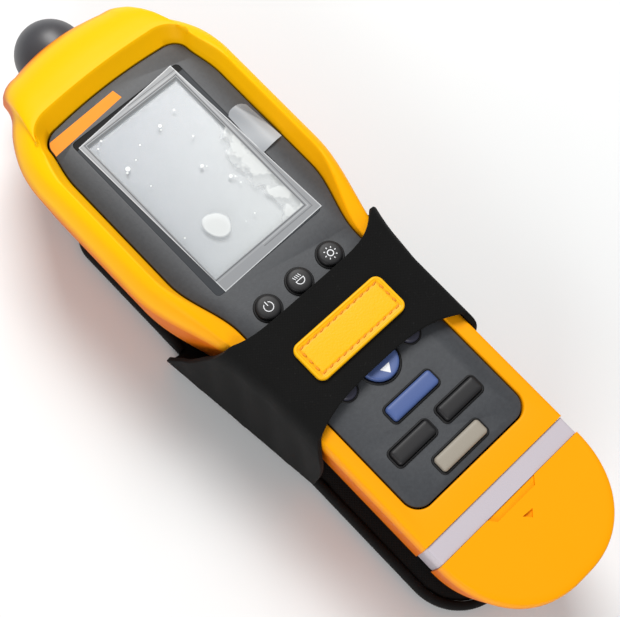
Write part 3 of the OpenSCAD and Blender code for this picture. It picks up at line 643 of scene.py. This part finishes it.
def make_panel():
    edge = [(0.55, FLOOR_Z + 0.1), (0.55, PANEL_Z - 0.5), (0.62, PANEL_Z - 0.15), (0.85, PANEL_Z)]
    made = piece("panel_plate", build_up(edge, panel_outline), panel, nodes=["face_panel"])
    cuts = [prism(rounded(WINDOW_W + 0.04, WINDOW_L + 0.04, 1.5, (0, WINDOW_MID)), 45.0, 48),
            prism(rounded(39.6, 61.6, 1.2, (0, WINDOW_MID)), 40, 47)]
    cuts += [prism(rounded(l + 2 * KEY_GAP, KEY_W + 2 * KEY_GAP, 1.4, (x, y)), 40, 48)
             for x, y, l in WIDE_KEYS.values()]
    cuts += [prism(circle(r + KEY_GAP, (x, y)), 40, 48) for x, y, r in ROUND_KEYS.values()]
    cuts.append(prism(circle(ROCKER_INNER_R + KEY_GAP, (0, NAV_Y)), 40, 48))
    carve(made, *cuts)


make_panel()


def make_surround(name, outer, key_edge):
    """The black rubber lip of the key mat that shows round a key, drawn wide so that its black also stands in
    as painted shade in the gap round the key.
    """
    rings = [points_3d(outer(d), z) for d, z in
             ((0.0, PANEL_Z - 0.1), (0.0, PANEL_Z + 0.12), (0.12, PANEL_Z + 0.32), (0.35, PANEL_Z + 0.42),
              (0.6, PANEL_Z + 0.36))]
    rings += [points_3d(key_edge, PANEL_Z + 0.2), points_3d(key_edge, PANEL_Z - 0.1)]
    piece(name, stack(rings, close_round=True), seal_rubber, sharp=60)


KEY_FINISH = {"enter_key": key_blue, "setup_key": key_grey, "left_key": key_dark, "right_key": key_dark}


def make_key(name, shape, outer, inner):
    """A key's cap and its lip. The slot has the name of the finish."""
    finish = KEY_FINISH.get(name, key_black)
    piece(name + "_cap", shape, finish, name, [name], sharp=50)
    make_surround(name + "_lip", outer, inner)


for name, (x, y, length) in WIDE_KEYS.items():
    sides = [(-0.85, 43.3), (-0.85, 44.05), (0, 44.06), (0, 47.2), (0.05, 47.5), (0.18, 47.72), (0.4, 47.9),
             (0.6, 48.0), (0.8, 48.05), (1.4, 48.08), (2.2, 48.09)]
    make_key(name, build_up(sides, lambda d: rounded(length, KEY_W, 1.1, (x, y), d)),
             lambda d: rounded(length + 1.7, KEY_W + 1.7, 1.9, (x, y), d),
             rounded(length + 0.2, KEY_W + 0.2, 1.2, (x, y)))

for name, (x, y, r) in ROUND_KEYS.items():
    dome = [(0, 43.3), (r + 0.9, 43.3), (r + 0.9, 44.05), (r, 44.06), (r, 47.2), (r - 0.06, 47.5),
            (r - 0.22, 47.76), (r - 0.5, 47.95), (r - 0.9, 48.06), (r * 0.5, 48.14), (0, 48.17)]
    make_key(name, lathe(dome, (x, y, 0)), lambda d: circle(r + BUTTON_LIP - d, (x, y)),
             circle(r + 0.1, (x, y)))

rocker = [(0, 43.05), (ROCKER_OUTER_R, 43.05), (ROCKER_OUTER_R, 43.65), (6.15, 43.66), (6.15, 47.6),
          (6.05, 47.9), (5.8, 48.08), (5.4, 48.1), (4.6, 48.0), (3.2, 47.86), (1.6, 47.8), (0, 47.78)]
piece("rocker_cap", lathe(rocker, (0, NAV_Y, 0), steps=96), key_blue, "nav_key", ["nav_key"],
      sharp=50)
make_surround("rocker_lip", lambda d: circle(ROCKER_OUTER_R - d, (0, NAV_Y), 96),
              circle(ROCKER_INNER_R, (0, NAV_Y), 96))


def print_mark(name, faces, body, height):
    """Printed marks lying on a key's top, whose height is given as a function of x and y."""
    shape = bmesh.new()
    for face in faces:
        shape.faces.new([shape.verts.new((px, py, 0)) for px, py in face])
    bmesh.ops.subdivide_edges(shape, edges=[e for e in shape.edges if e.calc_length() > 0.6], cuts=3,
                              use_grid_fill=True)
    bmesh.ops.solidify(shape, geom=shape.faces[:], thickness=0.05)
    for vert in shape.verts:
        vert.co.z += height(vert.co.x, vert.co.y)
    piece(name, shape, print_white, body, sharp=60)


def arc_strip(centre, r0, r1, start, end, steps):
    """A curved bar as small faces."""
    faces = []
    for k in range(steps):
        a, b = (math.radians(start + (end - start) * (k + j) / steps) for j in (0, 1))
        faces.append([(centre[0] + r * math.cos(t), centre[1] + r * math.sin(t))
                      for r, t in ((r0, a), (r1, a), (r1, b), (r0, b))])
    return faces


def bar(a, b, width):
    along = Vector((b[0] - a[0], b[1] - a[1])).normalized() * width / 2
    side = (-along.y, along.x)
    return [(a[0] + side[0], a[1] + side[1]), (a[0] - side[0], a[1] - side[1]),
            (b[0] - side[0], b[1] - side[1]), (b[0] + side[0], b[1] + side[1])]


def dome_top(cx, cy, r):
    """Height of a round key's top."""
    def height(x, y):
        away = math.hypot(x - cx, y - cy)
        return 48.22 - 0.03 * min(1, away / (0.5 * r)) - 0.08 * max(0, away / r - 0.5) / 0.27
    return height


print_white = plain("print_white", linear(225, 227, 230), 0.5)

cx, cy = BUTTON_X, BUTTON_Y
faces = arc_strip((cx, cy), 0.8, 1.1, 0, 360, 32)
for k in range(8):
    a = math.radians(45 * k)
    faces.append(bar(*[(cx + r * math.cos(a), cy + r * math.sin(a)) for r in (1.6, 2.1)], 0.3))
print_mark("sun_mark", faces, "backlight_button", dome_top(cx, cy, BUTTON_R))

cx, cy = 0, BUTTON_Y
faces = arc_strip((cx, cy), 1.3, 1.55, 180, 360, 20)
faces.append(bar((cx - 1.55, cy + 0.1), (cx + 1.55, cy + 0.1), 0.25))
for k in range(4):
    x = cx - 1.05 + 0.7 * k
    faces.append(bar((x, cy + 0.7), (x - 0.35, cy + 1.8), 0.2))
print_mark("torch_mark", faces, "torch_button", dome_top(cx, cy, BUTTON_R))

cx, cy = -BUTTON_X, BUTTON_Y
faces = arc_strip((cx, cy), 1.35, 1.6, 120, 420, 32) + [bar((cx, cy + 0.3), (cx, cy + 1.9), 0.26)]
print_mark("power_mark", faces, "power_button", dome_top(cx, cy, BUTTON_R))

down = [(-1.9, -39.7), (0.0, -42.4), (1.9, -39.7)]
up = [(x, 2 * NAV_Y - y) for x, y in down]
print_mark("arrow_marks", [down, up[::-1]], "nav_key",
           lambda x, y: 47.86 + 0.2 * clamp((math.hypot(x, y - NAV_Y) - 1.6) / 3))


# Badge strip, left bare
def make_badge():
    shape = bmesh.new()
    shape.faces.new([shape.verts.new((x, y, PANEL_Z + 0.005)) for x, y in panel_outline(0.75)])
    for place, keep in (((-28.5, 72.4, 0), (-0.078, 1, 0)), ((-26.4, 77.1, 0), (0.034, -1, 0)),
                        ((0.4, 76.4, 0), (-1, -0.18, 0))):
        trim(shape, place, keep)
    bmesh.ops.solidify(shape, geom=shape.faces[:], thickness=-0.08)
    piece("badge_strip", shape, badge_print)


badge_print = plain("badge_print", linear(234, 142, 8), 0.5, Specular_IOR_Level=0.2)
make_badge()


# Window with its printed border, and the loose film over it
def window_finish():
    made = Finish("window_print", linear(14, 14, 15), 0.45, Specular_IOR_Level=0.06)
    x, y, _ = made.axes()
    inside = (x.math("ABSOLUTE") < 0.0180) * ((y - 0.04085).math("ABSOLUTE") < 0.02815)
    # above the film's top edge the border is painted near black, printed border darkened further as painted
    # shade of the recess; under the film it is painted mid grey
    outer = made.mix(y > 0.0698, linear(58, 61, 65), linear(4, 4, 4))
    made.set(Alpha=1 - inside * 0.92, Base_Color=made.mix(inside, outer, linear(214, 219, 222)),
             Roughness=0.35 + made.noise(300.0) * 0.05)
    return made


lens_edge = [(0.0, 45.1), (0.0, 46.2), (0.12, 46.3)]
piece("display_window", build_up(lens_edge, lambda d: rounded(WINDOW_W, WINDOW_L, 1.5, (0, WINDOW_MID), d)),
      window_finish(), nodes=["display_lens"])

FILM_Z = 46.5
FILM_CORNERS = ((-20.3, 70.3), (19.1, 73.1), (21.9, 8.75), (-18.5, 7.9))
BUBBLES = ((9.8, 61.2, 0.5), (3.0, 60.0, 0.75), (2.3, 58.8, 0.45), (8.3, 51.0, 0.5), (-13.7, 67.7, 0.5),
           (-5.8, 59.2, 0.4), (-13.8, 55.7, 0.9), (-14.8, 54.8, 0.5), (3.6, 42.0, 0.85), (4.6, 41.0, 0.45),
           (7.9, 33.9, 0.65), (8.9, 32.9, 0.4), (8.9, 30.4, 0.5), (-12.3, 47.1, 0.5), (-16.1, 66.3, 0.4),
           (-10.0, 56.3, 0.4), (-16.0, 28.2, 0.5), (5.1, 20.4, 0.45), (-13.0, 16.7, 0.35), (1.3, 20.2, 0.4))


def film_finish():
    """Clear film with a grey haze, trapped bubbles and a lifted side, with painted reflection on the bubbles
    and lifted side and painted highlight and shade lines along its border.
    """
    made = Finish("film_haze", linear(196, 201, 204), 0.25, Specular_IOR_Level=0.3)
    x, y, _ = made.axes()
    u, v = made.uv()

    def away(*place):
        """Distance from a place on the film, in millimetres."""
        return made.node("VectorMath", {"operation": "DISTANCE"}, made.place(),
                         [k * MM for k in (*place, FILM_Z)], out=1) * 1000.0

    edge = (u.math("MINIMUM", 1 - u) * 40.0).math("MINIMUM", v.math("MINIMUM", 1 - v) * 64.4)
    # painted highlight: rim makes the film's outer edge lighter and more opaque
    rim = ((0.34 - edge) * 8.0).clamp()
    aside = ((x + 0.0001).math("ABSOLUTE") - 0.0181).math(
        "MAXIMUM", (y - 0.0410).math("ABSOLUTE") - 0.0284) * 1000.0
    inside = (aside * -4.0).clamp()
    # painted shade: line darkens the border just outside the display's edge, and dark adds a second shade
    # line on the right side only
    line, pale, dark = ((1 - (aside - at).math("ABSOLUTE") * fall).clamp()
                        for at, fall in ((0.3, 3.6), (0.95, 4.0), (1.75, 3.2)))
    # painted highlight: pale is a lighter line along the border, stronger on the right side
    right = x > 0.0
    pale = pale * (0.35 + right * 0.4)
    dark = dark * right * 0.7
    wander = made.noise(130.0, 4.0)
    bubbles = sum(((radius - away(bx, by) + (wander - 0.5) * 0.9) * 4.0).clamp()
                  for bx, by, radius in BUBBLES)
    blob = ((4.5 - away(-6.0, 25.0) + (made.noise(110.0, 1.0) - 0.5) * 3.0) * 1.6).clamp()
    edge_x = (y - 0.038).math("MAXIMUM", 0.0) * 0.5 + 0.0112
    lifted = (((x - edge_x) * 1000.0 + (made.noise(150.0, 2.0) - 0.5) * 14.0) * 0.6).clamp()
    patches = ((made.noise(210.0, 2.0) - 0.45) * 12.0).clamp()
    lift = lifted * (0.5 + patches * 0.35)
    # painted reflection: the bubbles, the blob and the lifted side are painted lighter and more opaque
    shine = (bubbles + blob * 0.9 + lift).clamp()
    lit = linear(196, 199, 202)
    border = made.mix(rim, made.mix(pale, linear(160, 163, 167), lit), lit)
    tone = made.mix(inside, border, made.mix(shine, linear(186, 192, 196), linear(222, 226, 226)))
    outside = 0.66 + rim * 0.2 - line * 0.45 - dark * 0.35 + pale * 0.1
    cover = inside * (0.2 + shine * 0.55) + (1 - inside) * outside
    relief = made.noise(60.0, 2.0) + bubbles * 0.3 + blob * 0.15 + lifted * 0.1
    made.set(Base_Color=tone, Alpha=cover.clamp(), Roughness=0.2 + wander * 0.1,
             Normal=made.bump(relief, 0.00012, 0.3))
    return made


def make_film():
    shape = bmesh.new()
    bmesh.ops.create_grid(shape, x_segments=48, y_segments=72, size=0.5)
    layer = shape.loops.layers.uv.new("UVMap")
    a, b, c, d = (Vector((*p, 0)) for p in FILM_CORNERS)
    places = {vert: (vert.co.x + 0.5, vert.co.y + 0.5) for vert in shape.verts}
    for face in shape.faces:
        for corner in face.loops:
            corner[layer].uv = places[corner.vert]
    for vert, (u, v) in places.items():
        top, low = a.lerp(b, u), d.lerp(c, u)
        vert.co = low.lerp(top, v)
        edge = max(0, u - 0.93) / 0.07
        vert.co.z = FILM_Z + 0.12 * ease(edge) + 0.05 * math.sin(9 * v + 3 * u) * u
    piece("screen_cover", shape, film_finish(), nodes=["screen_film"], closed=False)


make_film()


def tab_finish():
    """Clear tab, darker where it lies double along its outer side."""
    made = Finish("tab_haze", linear(178, 182, 186), 0.3, Specular_IOR_Level=0.3)
    x, y, _ = made.axes()
    streaks = made.node("TexWave", {"wave_type": "BANDS", "bands_direction": "DIAGONAL"}, made.place(),
                        Scale=26.0, Distortion=2.0, Detail=2.0)
    outer = (((x - 0.0244) + (y - 0.0497) * 0.315) * 1800.0).clamp()
    made.set(Base_Color=made.mix(streaks * 0.5, linear(168, 172, 177), linear(196, 200, 204)),
             Alpha=0.72 + streaks * 0.08 - outer * 0.32, Normal=made.bump(streaks - outer, 0.0001, 0.3))
    return made


def make_tab():
    shape = bmesh.new()
    bmesh.ops.create_grid(shape, x_segments=20, y_segments=24, size=0.5)
    for vert in shape.verts:
        u, v = vert.co.x + 0.5, vert.co.y + 0.5
        left = Vector((20.2, 33.0, 0)).lerp(Vector((20.9, 50.2, 0)), v)
        right = Vector((28.6, 33.4, 0)).lerp(Vector((27.6, 49.6, 0)), v)
        spot = left.lerp(right, u)
        round_off = max(0, v - 0.86) / 0.14
        spot.y -= 1.4 * round_off ** 2 * (abs(2 * u - 1) ** 3)
        spot.z = 46.58 + 0.75 * math.sin(math.pi * 0.85 * u) ** 1.2 + 0.2 * (1 - v) * u
        vert.co = spot
    piece("film_tab", shape, tab_finish(), closed=False)


make_tab()


# ------------ sensor cap

CAP_R, CAP_INNER_R, CAP_DOME_Y = 11.7, 10.0, 109.3


def make_cap():
    def dome(r, a):
        return max(r * math.cos(math.radians(a)), 0.0), CAP_DOME_Y + r * math.sin(math.radians(a))

    outer = [(CAP_R, 102.5), (CAP_R, 103.0), (11.55, 103.4), (11.6, 104.0), (CAP_R, 105.2),
             (CAP_R, CAP_DOME_Y)]
    outer += [dome(CAP_R, 90 * k / 14) for k in range(1, 15)]
    inner = [dome(CAP_INNER_R, 90 * k / 10) for k in range(10, -1, -1)]
    inner += [(CAP_INNER_R, 103.0), (10.3, 102.5), (11.4, 102.35), (CAP_R, 102.5)]
    piece("cap_dome", lathe(outer + inner, (0, -CAP_SET, SENSOR_Z), "Y", 96), cap_rubber, "sensor_cap",
          ["sensor_cap"], sharp=60)


make_cap()


# ------------ holster

PAD_Z, PAD_TOP = 1.2, 5.2
EAR_START, EAR_END = 12.5, -47.8
BAND_Y, BAND_END = -8.3, -38.3
BAND_OUT, BAND_THICK, BAND_EDGE, BAND_ROWS = 0.9, 1.7, 0.75, 46
TAPE_STEP, TAPE_INNER = 0.42, 2.7
PUFF_FRAMES = 20


def pad_half_outline(d=0.0):
    return body_outline(67.6 - d, 31.0 - d, 2, 12, 55.6, 48.5, 31.0 - d, EAR_START, EAR_END, 28.7 - d, -92.6,
                        19 - d, 19 - d)


def pad_outline(d=0.0):
    return whole(pad_half_outline(d))


def ear_width(y):
    return 29.2 + 6.7 * clamp((y - EAR_END) / (EAR_START - EAR_END))


def eared_outline(d=0.0):
    """The pad inside its tape, with the sewn ears that carry the band."""
    half = pad_half_outline(2.3 + d)
    top = [p for p in half if p[1] > EAR_START]
    low = [p for p in half if p[1] < EAR_END]
    ears = [(ear_width(y) - d, y) for y in (EAR_START - d, 4, -6, -16, -26, -36, EAR_END + d)]
    return whole(top + [(top[-1][0], EAR_START - d)] + ears + [(low[0][0], EAR_END + d)] + low)


def puffed(made, voxel, pinned, pressure, cap, low, high):
    """Stuffs a plain slab: its skin is cloth, blown up from inside and held at the seam."""
    modify(made, "REMESH", mode="VOXEL", voxel_size=voxel * MM)
    bake(made, sharp=180)
    rest = [vert.co.copy() for vert in made.data.vertices]
    held = made.vertex_groups.new(name="seam")
    held.add([k for k, co in enumerate(rest) if pinned(co.x / MM, co.y / MM)], 1.0, "REPLACE")
    modify(made, "CLOTH")
    skin = made.modifiers[-1]
    skin.settings.use_pressure = True
    skin.settings.uniform_pressure_force = pressure
    skin.settings.effector_weights.gravity = 0
    skin.settings.vertex_group_mass = "seam"
    skin.settings.quality = 5
    skin.point_cache.frame_start, skin.point_cache.frame_end = 1, PUFF_FRAMES
    for number in range(1, PUFF_FRAMES + 1):
        bpy.context.scene.frame_set(number)
    bake(made, sharp=180)
    bpy.context.scene.frame_set(1)
    for vert, old in zip(made.data.vertices, rest):
        move = vert.co - old
        if move.length > cap * MM:
            vert.co = old + move.normalized() * cap * MM
        vert.co.z = min(high * MM, max(low * MM, vert.co.z))


def make_pad():
    core = [(1.2, PAD_Z + 0.5), (0.2, PAD_Z + 1.0), (0.0, PAD_Z + 2), (0.2, PAD_TOP - 1.0),
            (1.2, PAD_TOP - 0.5)]
    made = piece("pad_foam", build_up(core, eared_outline), pad_cloth, "holster", ["holster_pad"])

    def seam(x, y):
        return abs(x) > 24.5 or y > 60.5 or y < -104.5

    puffed(made, voxel=2.0, pinned=seam, pressure=2.0, cap=0.6, low=PAD_Z + 0.02, high=PAD_TOP - 0.02)
    modify(made, "SUBSURF", levels=1, render_levels=1)


make_pad()


def make_binding():
    """Ribbed tape folded over the pad's edge, above and below the ears."""
    guide = pad_outline()
    counts = [max(1, round(math.dist(a, b) / TAPE_STEP)) for a, b in zip(guide, guide[1:] + guide[:1])]
    rings = []
    for d, z in ((TAPE_INNER, 4.75), (2.2, 5.1), (1.2, 5.2), (0.5, 5.0), (0.08, 4.3), (0.05, 3.2),
                 (0.08, 2.1), (0.5, 1.4), (1.2, 1.2), (2.2, 1.3), (TAPE_INNER, 1.65)):
        base, raised = pad_outline(d), pad_outline(d + 0.09)
        ring = []
        for k, count in enumerate(counts):
            for j in range(count):
                side = raised if (len(ring) % 2 and d < 2.5) else base
                p = between(side[k], side[(k + 1) % len(side)], j / count)
                lift = 0.06 if len(ring) % 2 and 0.3 < d < 2.5 else 0.0
                ring.append((*p, z - lift if z > 3.2 else z + lift))
        rings.append(ring)
    tube = stack(rings, close_round=True)
    parts = [trim(tube.copy(), (0, EAR_START - 0.9, 0), (0, 1, 0)),
             trim(tube, (0, EAR_END + 0.9, 0), (0, -1, 0))]
    for part in parts:
        bmesh.ops.holes_fill(part, edges=[e for e in part.edges if e.is_boundary])
    piece("edge_tape", merged(*parts), tape_cloth, "holster", ["pad_binding"], sharp=75)


make_binding()


def band_section(y):
    """Half of the band's cut at one place, from the middle of the front down to the pad."""
    t = BAND_OUT
    w = grip_width(y) + 1.5 * math.sin(math.pi * clamp((y + 22) / 34))
    c = w - 1.5 - 5.4 * (w - GRIP_HALF) / 9.6
    top, base = crest_height(y) + 0.4, ear_width(y) - 1.8
    line = [((c + 0.4) * k / 20, top + t) for k in range(20)]
    for k in range(13):
        a = math.radians(90 - 7.5 * k)
        line.append((c + 0.4 + (w - c + t) * math.cos(a), WIDE_Z + (top - WIDE_Z + t) * math.sin(a)))
    side = smooth_through([line[-1], (w + 0.4 + t, 37.2), (base + t + (w + 0.4 - base) * 0.45, 20),
                           (base + t, PAD_TOP - 0.6)], 6)
    return line + side[1:]


def band_edges(x, z):
    """Where the band's upper and lower edge run, at a place on its cut."""
    u, fall = min(1, abs(x) / GRIP_HALF), clamp((RIM_Z - z) / (RIM_Z - PAD_TOP))
    if x < 0:
        upper, lower = BAND_Y + 2.6 * u ** 6 + 18.2 * fall ** 1.15, BAND_END - 4.4 * u ** 3 - 5.1 * fall
        return upper, lower - 3.0 * math.sin(math.pi * fall ** 0.8)
    upper, lower = BAND_Y + 6.2 * u ** 6 + 12.4 * fall ** 1.3, BAND_END - 6.3 * u ** 3 - 3.2 * fall
    return upper - 1.2 * math.sin(math.pi * fall ** 0.7), lower - 4.6 * math.sin(math.pi * fall ** 0.45)


def make_band():
    shape = bmesh.new()
    grid = []
    middle = band_section(-23)
    for row in range(BAND_ROWS + 1):
        line = []
        v = row / BAND_ROWS
        for side in (-1, 1):
            half = []
            for j, (x, z) in enumerate(middle):
                upper, lower = band_edges(side * x, z)
                y = upper + (lower - upper) * v
                px, pz = band_section(y)[j]
                fall = clamp((RIM_Z - pz) / (RIM_Z - PAD_TOP))
                fold = 0.45 * math.sin(y * 0.52 + 1.3 * side + 2.2 * fall) * math.sin(math.pi * fall) ** 1.5
                px += fold + (0.9 if side > 0 else -0.4) * math.sin(math.pi * fall) * (1 - abs(2 * v - 1))
                if side > 0:
                    px -= 0.9 * clamp((y - 1) / 9) * clamp((px - 24) / 6)
                half.append((side * px, y, pz))
            line += half[::-1] if side < 0 else half[1:]
        grid.append([shape.verts.new(p) for p in line])
    strips = [[shape.edges.new(pair) for pair in zip(line, line[1:])] for line in grid]
    for a, b in zip(strips, strips[1:]):
        bmesh.ops.bridge_loops(shape, edges=a + b)
    bmesh.ops.recalc_face_normals(shape, faces=shape.faces)
    if sum(face.normal.z for face in shape.faces) < 0:
        bmesh.ops.reverse_faces(shape, faces=shape.faces)
    area = sum(face.calc_area() for face in shape.faces) * MM * MM
    made = piece("front_band", shape, band_cloth, "holster", ["holster_band"], closed=False,
                 sharp=0)
    modify(made, "SOLIDIFY", thickness=BAND_THICK * MM, offset=0, use_even_offset=True)
    modify(made, "BEVEL", width=BAND_EDGE * MM, segments=4, limit_method="ANGLE",
           angle_limit=math.radians(50))
    return made, area


band, band_area = make_band()


def thread(path, pitch, length, radius, z, close=True, lean=0.0):
    """Stitches along a flat path: small lens-shaped loops of thread."""
    shape = bmesh.new()
    pairs = zip(path, path[1:] + (path[:1] if close else []))
    walked, due = 0.0, pitch * 0.5
    for a, b in pairs:
        span = math.dist(a, b)
        while span > 1e-6 and due <= walked + span:
            x, y = between(a, b, (due - walked) / span)
            turn = Matrix.Rotation(math.atan2(b[1] - a[1], b[0] - a[0]) + lean, 4, "Z")
            place = Matrix.Translation((x, y, z)) @ turn @ Matrix.Diagonal((length / 2, radius, radius, 1))
            bmesh.ops.create_icosphere(shape, subdivisions=1, radius=1, matrix=place)
            due += pitch
        walked += span
    return shape


PATCH_Y = -24.8


def patch_outline(d):
    return rounded(35.4, 13.5, 2.6, (-0.55, PATCH_Y - 0.2), d, 8)


def make_patch():
    sides = [(0.1, 50.55), (0, 50.7), (0, 51.55), (0.12, 51.82), (0.35, 51.97), (0.6, 52.0), (0.85, 51.94),
             (1.0, 51.82), (1.15, 51.76), (2.6, 51.78), (4.0, 51.84)]
    piece("yellow_patch", build_up(sides, patch_outline), patch_finish(), "holster", ["band_patch"],
          sharp=60)
    stitches = thread(patch_outline(1.95), pitch=2.7, length=1.9, radius=0.34, z=51.76, lean=0.2)
    piece("patch_thread", stitches, thread_orange, "holster", sharp=0)


make_patch()


def make_belt_loop():
    edge = [(0.35, 0.14), (0.0, 0.4), (0.0, 0.9), (0.35, 1.18)]
    made = piece("back_loop", build_up(edge, lambda d: rounded(44, 92, 3, (0, 0), d)), webbing, "holster",
                 ["belt_loop"])
    boxes = []
    for y in (-38, 38):
        corners = [(-19, y - 5.5), (19, y - 5.5), (19, y + 5.5), (-19, y + 5.5)]
        boxes += [thread(path, pitch=2.4, length=1.7, radius=0.16, z=0.17, close=len(path) > 2)
                  for path in (corners, corners[::2], corners[1::2])]
    stitching = piece("loop_thread", merged(*boxes), thread_black, "holster", sharp=0)


make_belt_loop()


# ------------ display and kept CAD pieces

def display_glow():
    """The blank display: a pale reflection that grows brighter towards the lower right."""
    made = Finish("display_glass", linear(212, 217, 220), 0.2)
    x, y, _ = made.axes()
    share = ((x - y) * 12.0 + 0.9).clamp()
    shown = (x.math("ABSOLUTE") < 0.0186) * ((y - 0.0408).math("ABSOLUTE") < 0.0288)
    tone = made.mix(share, linear(128, 138, 148), linear(232, 236, 235))
    tone = made.mix(made.noise(40.0) * 0.3, tone, linear(188, 186, 200))
    made.set(Base_Color=made.mix(shown, linear(40, 41, 43), tone))
    return made


display_frame = [(0.0, 40.75), (0.0, 43.9), (0.3, 44.1), (2.2, 44.1), (2.4, 45.0)]
piece("display_block", build_up(display_frame, lambda d: rounded(45.4, 66.4, 1.5, (0, WINDOW_MID), d)),
      display_glow(), nodes=["lcd_module"])


def board_finish():
    """Green board with its copper lines and pads."""
    made = Finish("board_green", linear(24, 96, 58), 0.4)
    x = made.axes()[0]
    lines = ((x * 2600.0).math("SINE") * (made.noise(120.0, 0.0) - 0.42)) > 0.09
    pads = made.node("TexVoronoi", None, made.place(), Scale=260.0) < 0.16
    made.set(Base_Color=made.mix(pads, made.mix(lines, linear(22, 92, 56), linear(46, 130, 84)),
                                 linear(214, 178, 96)),
             Roughness=0.45 - pads * 0.15, Normal=made.bump(lines + pads, 0.00004, 0.5))
    return made


def cell_finish():
    """Wrapped cells with bare metal ends."""
    made = Finish("cell_wrap", linear(46, 48, 52), 0.32)
    y = made.axes()[1]
    bare = (y + 0.0825).math("ABSOLUTE") > 0.0242
    stripe = (y + 0.096).math("ABSOLUTE") < 0.0045
    scuff = made.noise(420.0, 4.0)
    made.set(Base_Color=made.mix(bare, made.mix(stripe, linear(46, 48, 52), linear(176, 124, 62)),
                                 linear(196, 196, 198)),
             Metallic=bare * 0.9, Roughness=0.24 + scuff * 0.2)
    return made


for name, finish in {
    "lcd_backlight": light_guide, "main_board": board_finish(),
    "keypad_mat": silicone, "sensor_tip": steel, "sensor_body": steel, "sensor_grommet": seal_rubber,
    "ir_lens": dark_filter, "torch_lens": clear_eye, "usb_socket": steel, "audio_jack": black_plastic,
    "sensor_socket": brass, "battery_tray": black_plastic, "batteries": cell_finish(),
    "battery_springs": steel, "door_contact": steel, "housing_screws": steel,
}.items():
    dress(name, finish)


# ------------ stage

def lamp(name, place, target, size, power, color):
    made = bpy.data.objects.new(name, bpy.data.lights.new(name, "AREA"))
    bpy.context.scene.collection.objects.link(made)
    made.data.shape = "RECTANGLE"
    made.data.size, made.data.size_y = size
    made.data.energy = power
    made.data.color = color
    made.location = place
    made.rotation_euler = (Vector(target) - Vector(place)).to_track_quat("-Z", "Y").to_euler()


lamp("key_lamp", (0.35, 0.55, 0.9), (0, 0.02, 0), (0.5, 0.5), 12.0, (1.0, 0.99, 0.97))
lamp("fill_lamp", (-0.86, -0.5, 0.46), (0, 0, 0.03), (0.7, 0.7), 7.4, (1.0, 0.99, 0.98))

world = bpy.data.worlds.new("world")
bpy.context.scene.world = world
world.use_nodes = True
sky = world.node_tree.nodes["Background"].inputs
sky["Color"].default_value = (0.95, 0.95, 0.96, 1)
sky["Strength"].default_value = 0.355

floor_finish = Finish("floor_paper", linear(230, 232, 233), 0.9)
floor_mesh = bpy.data.meshes.new("floor")
shape = bmesh.new()
bmesh.ops.create_grid(shape, x_segments=1, y_segments=1, size=4)
shape.to_mesh(floor_mesh)
floor = bpy.data.objects.new("floor", floor_mesh)
bpy.context.scene.collection.objects.link(floor)
dress(floor, floor_finish)

bpy.context.scene.view_settings.view_transform = "Standard"
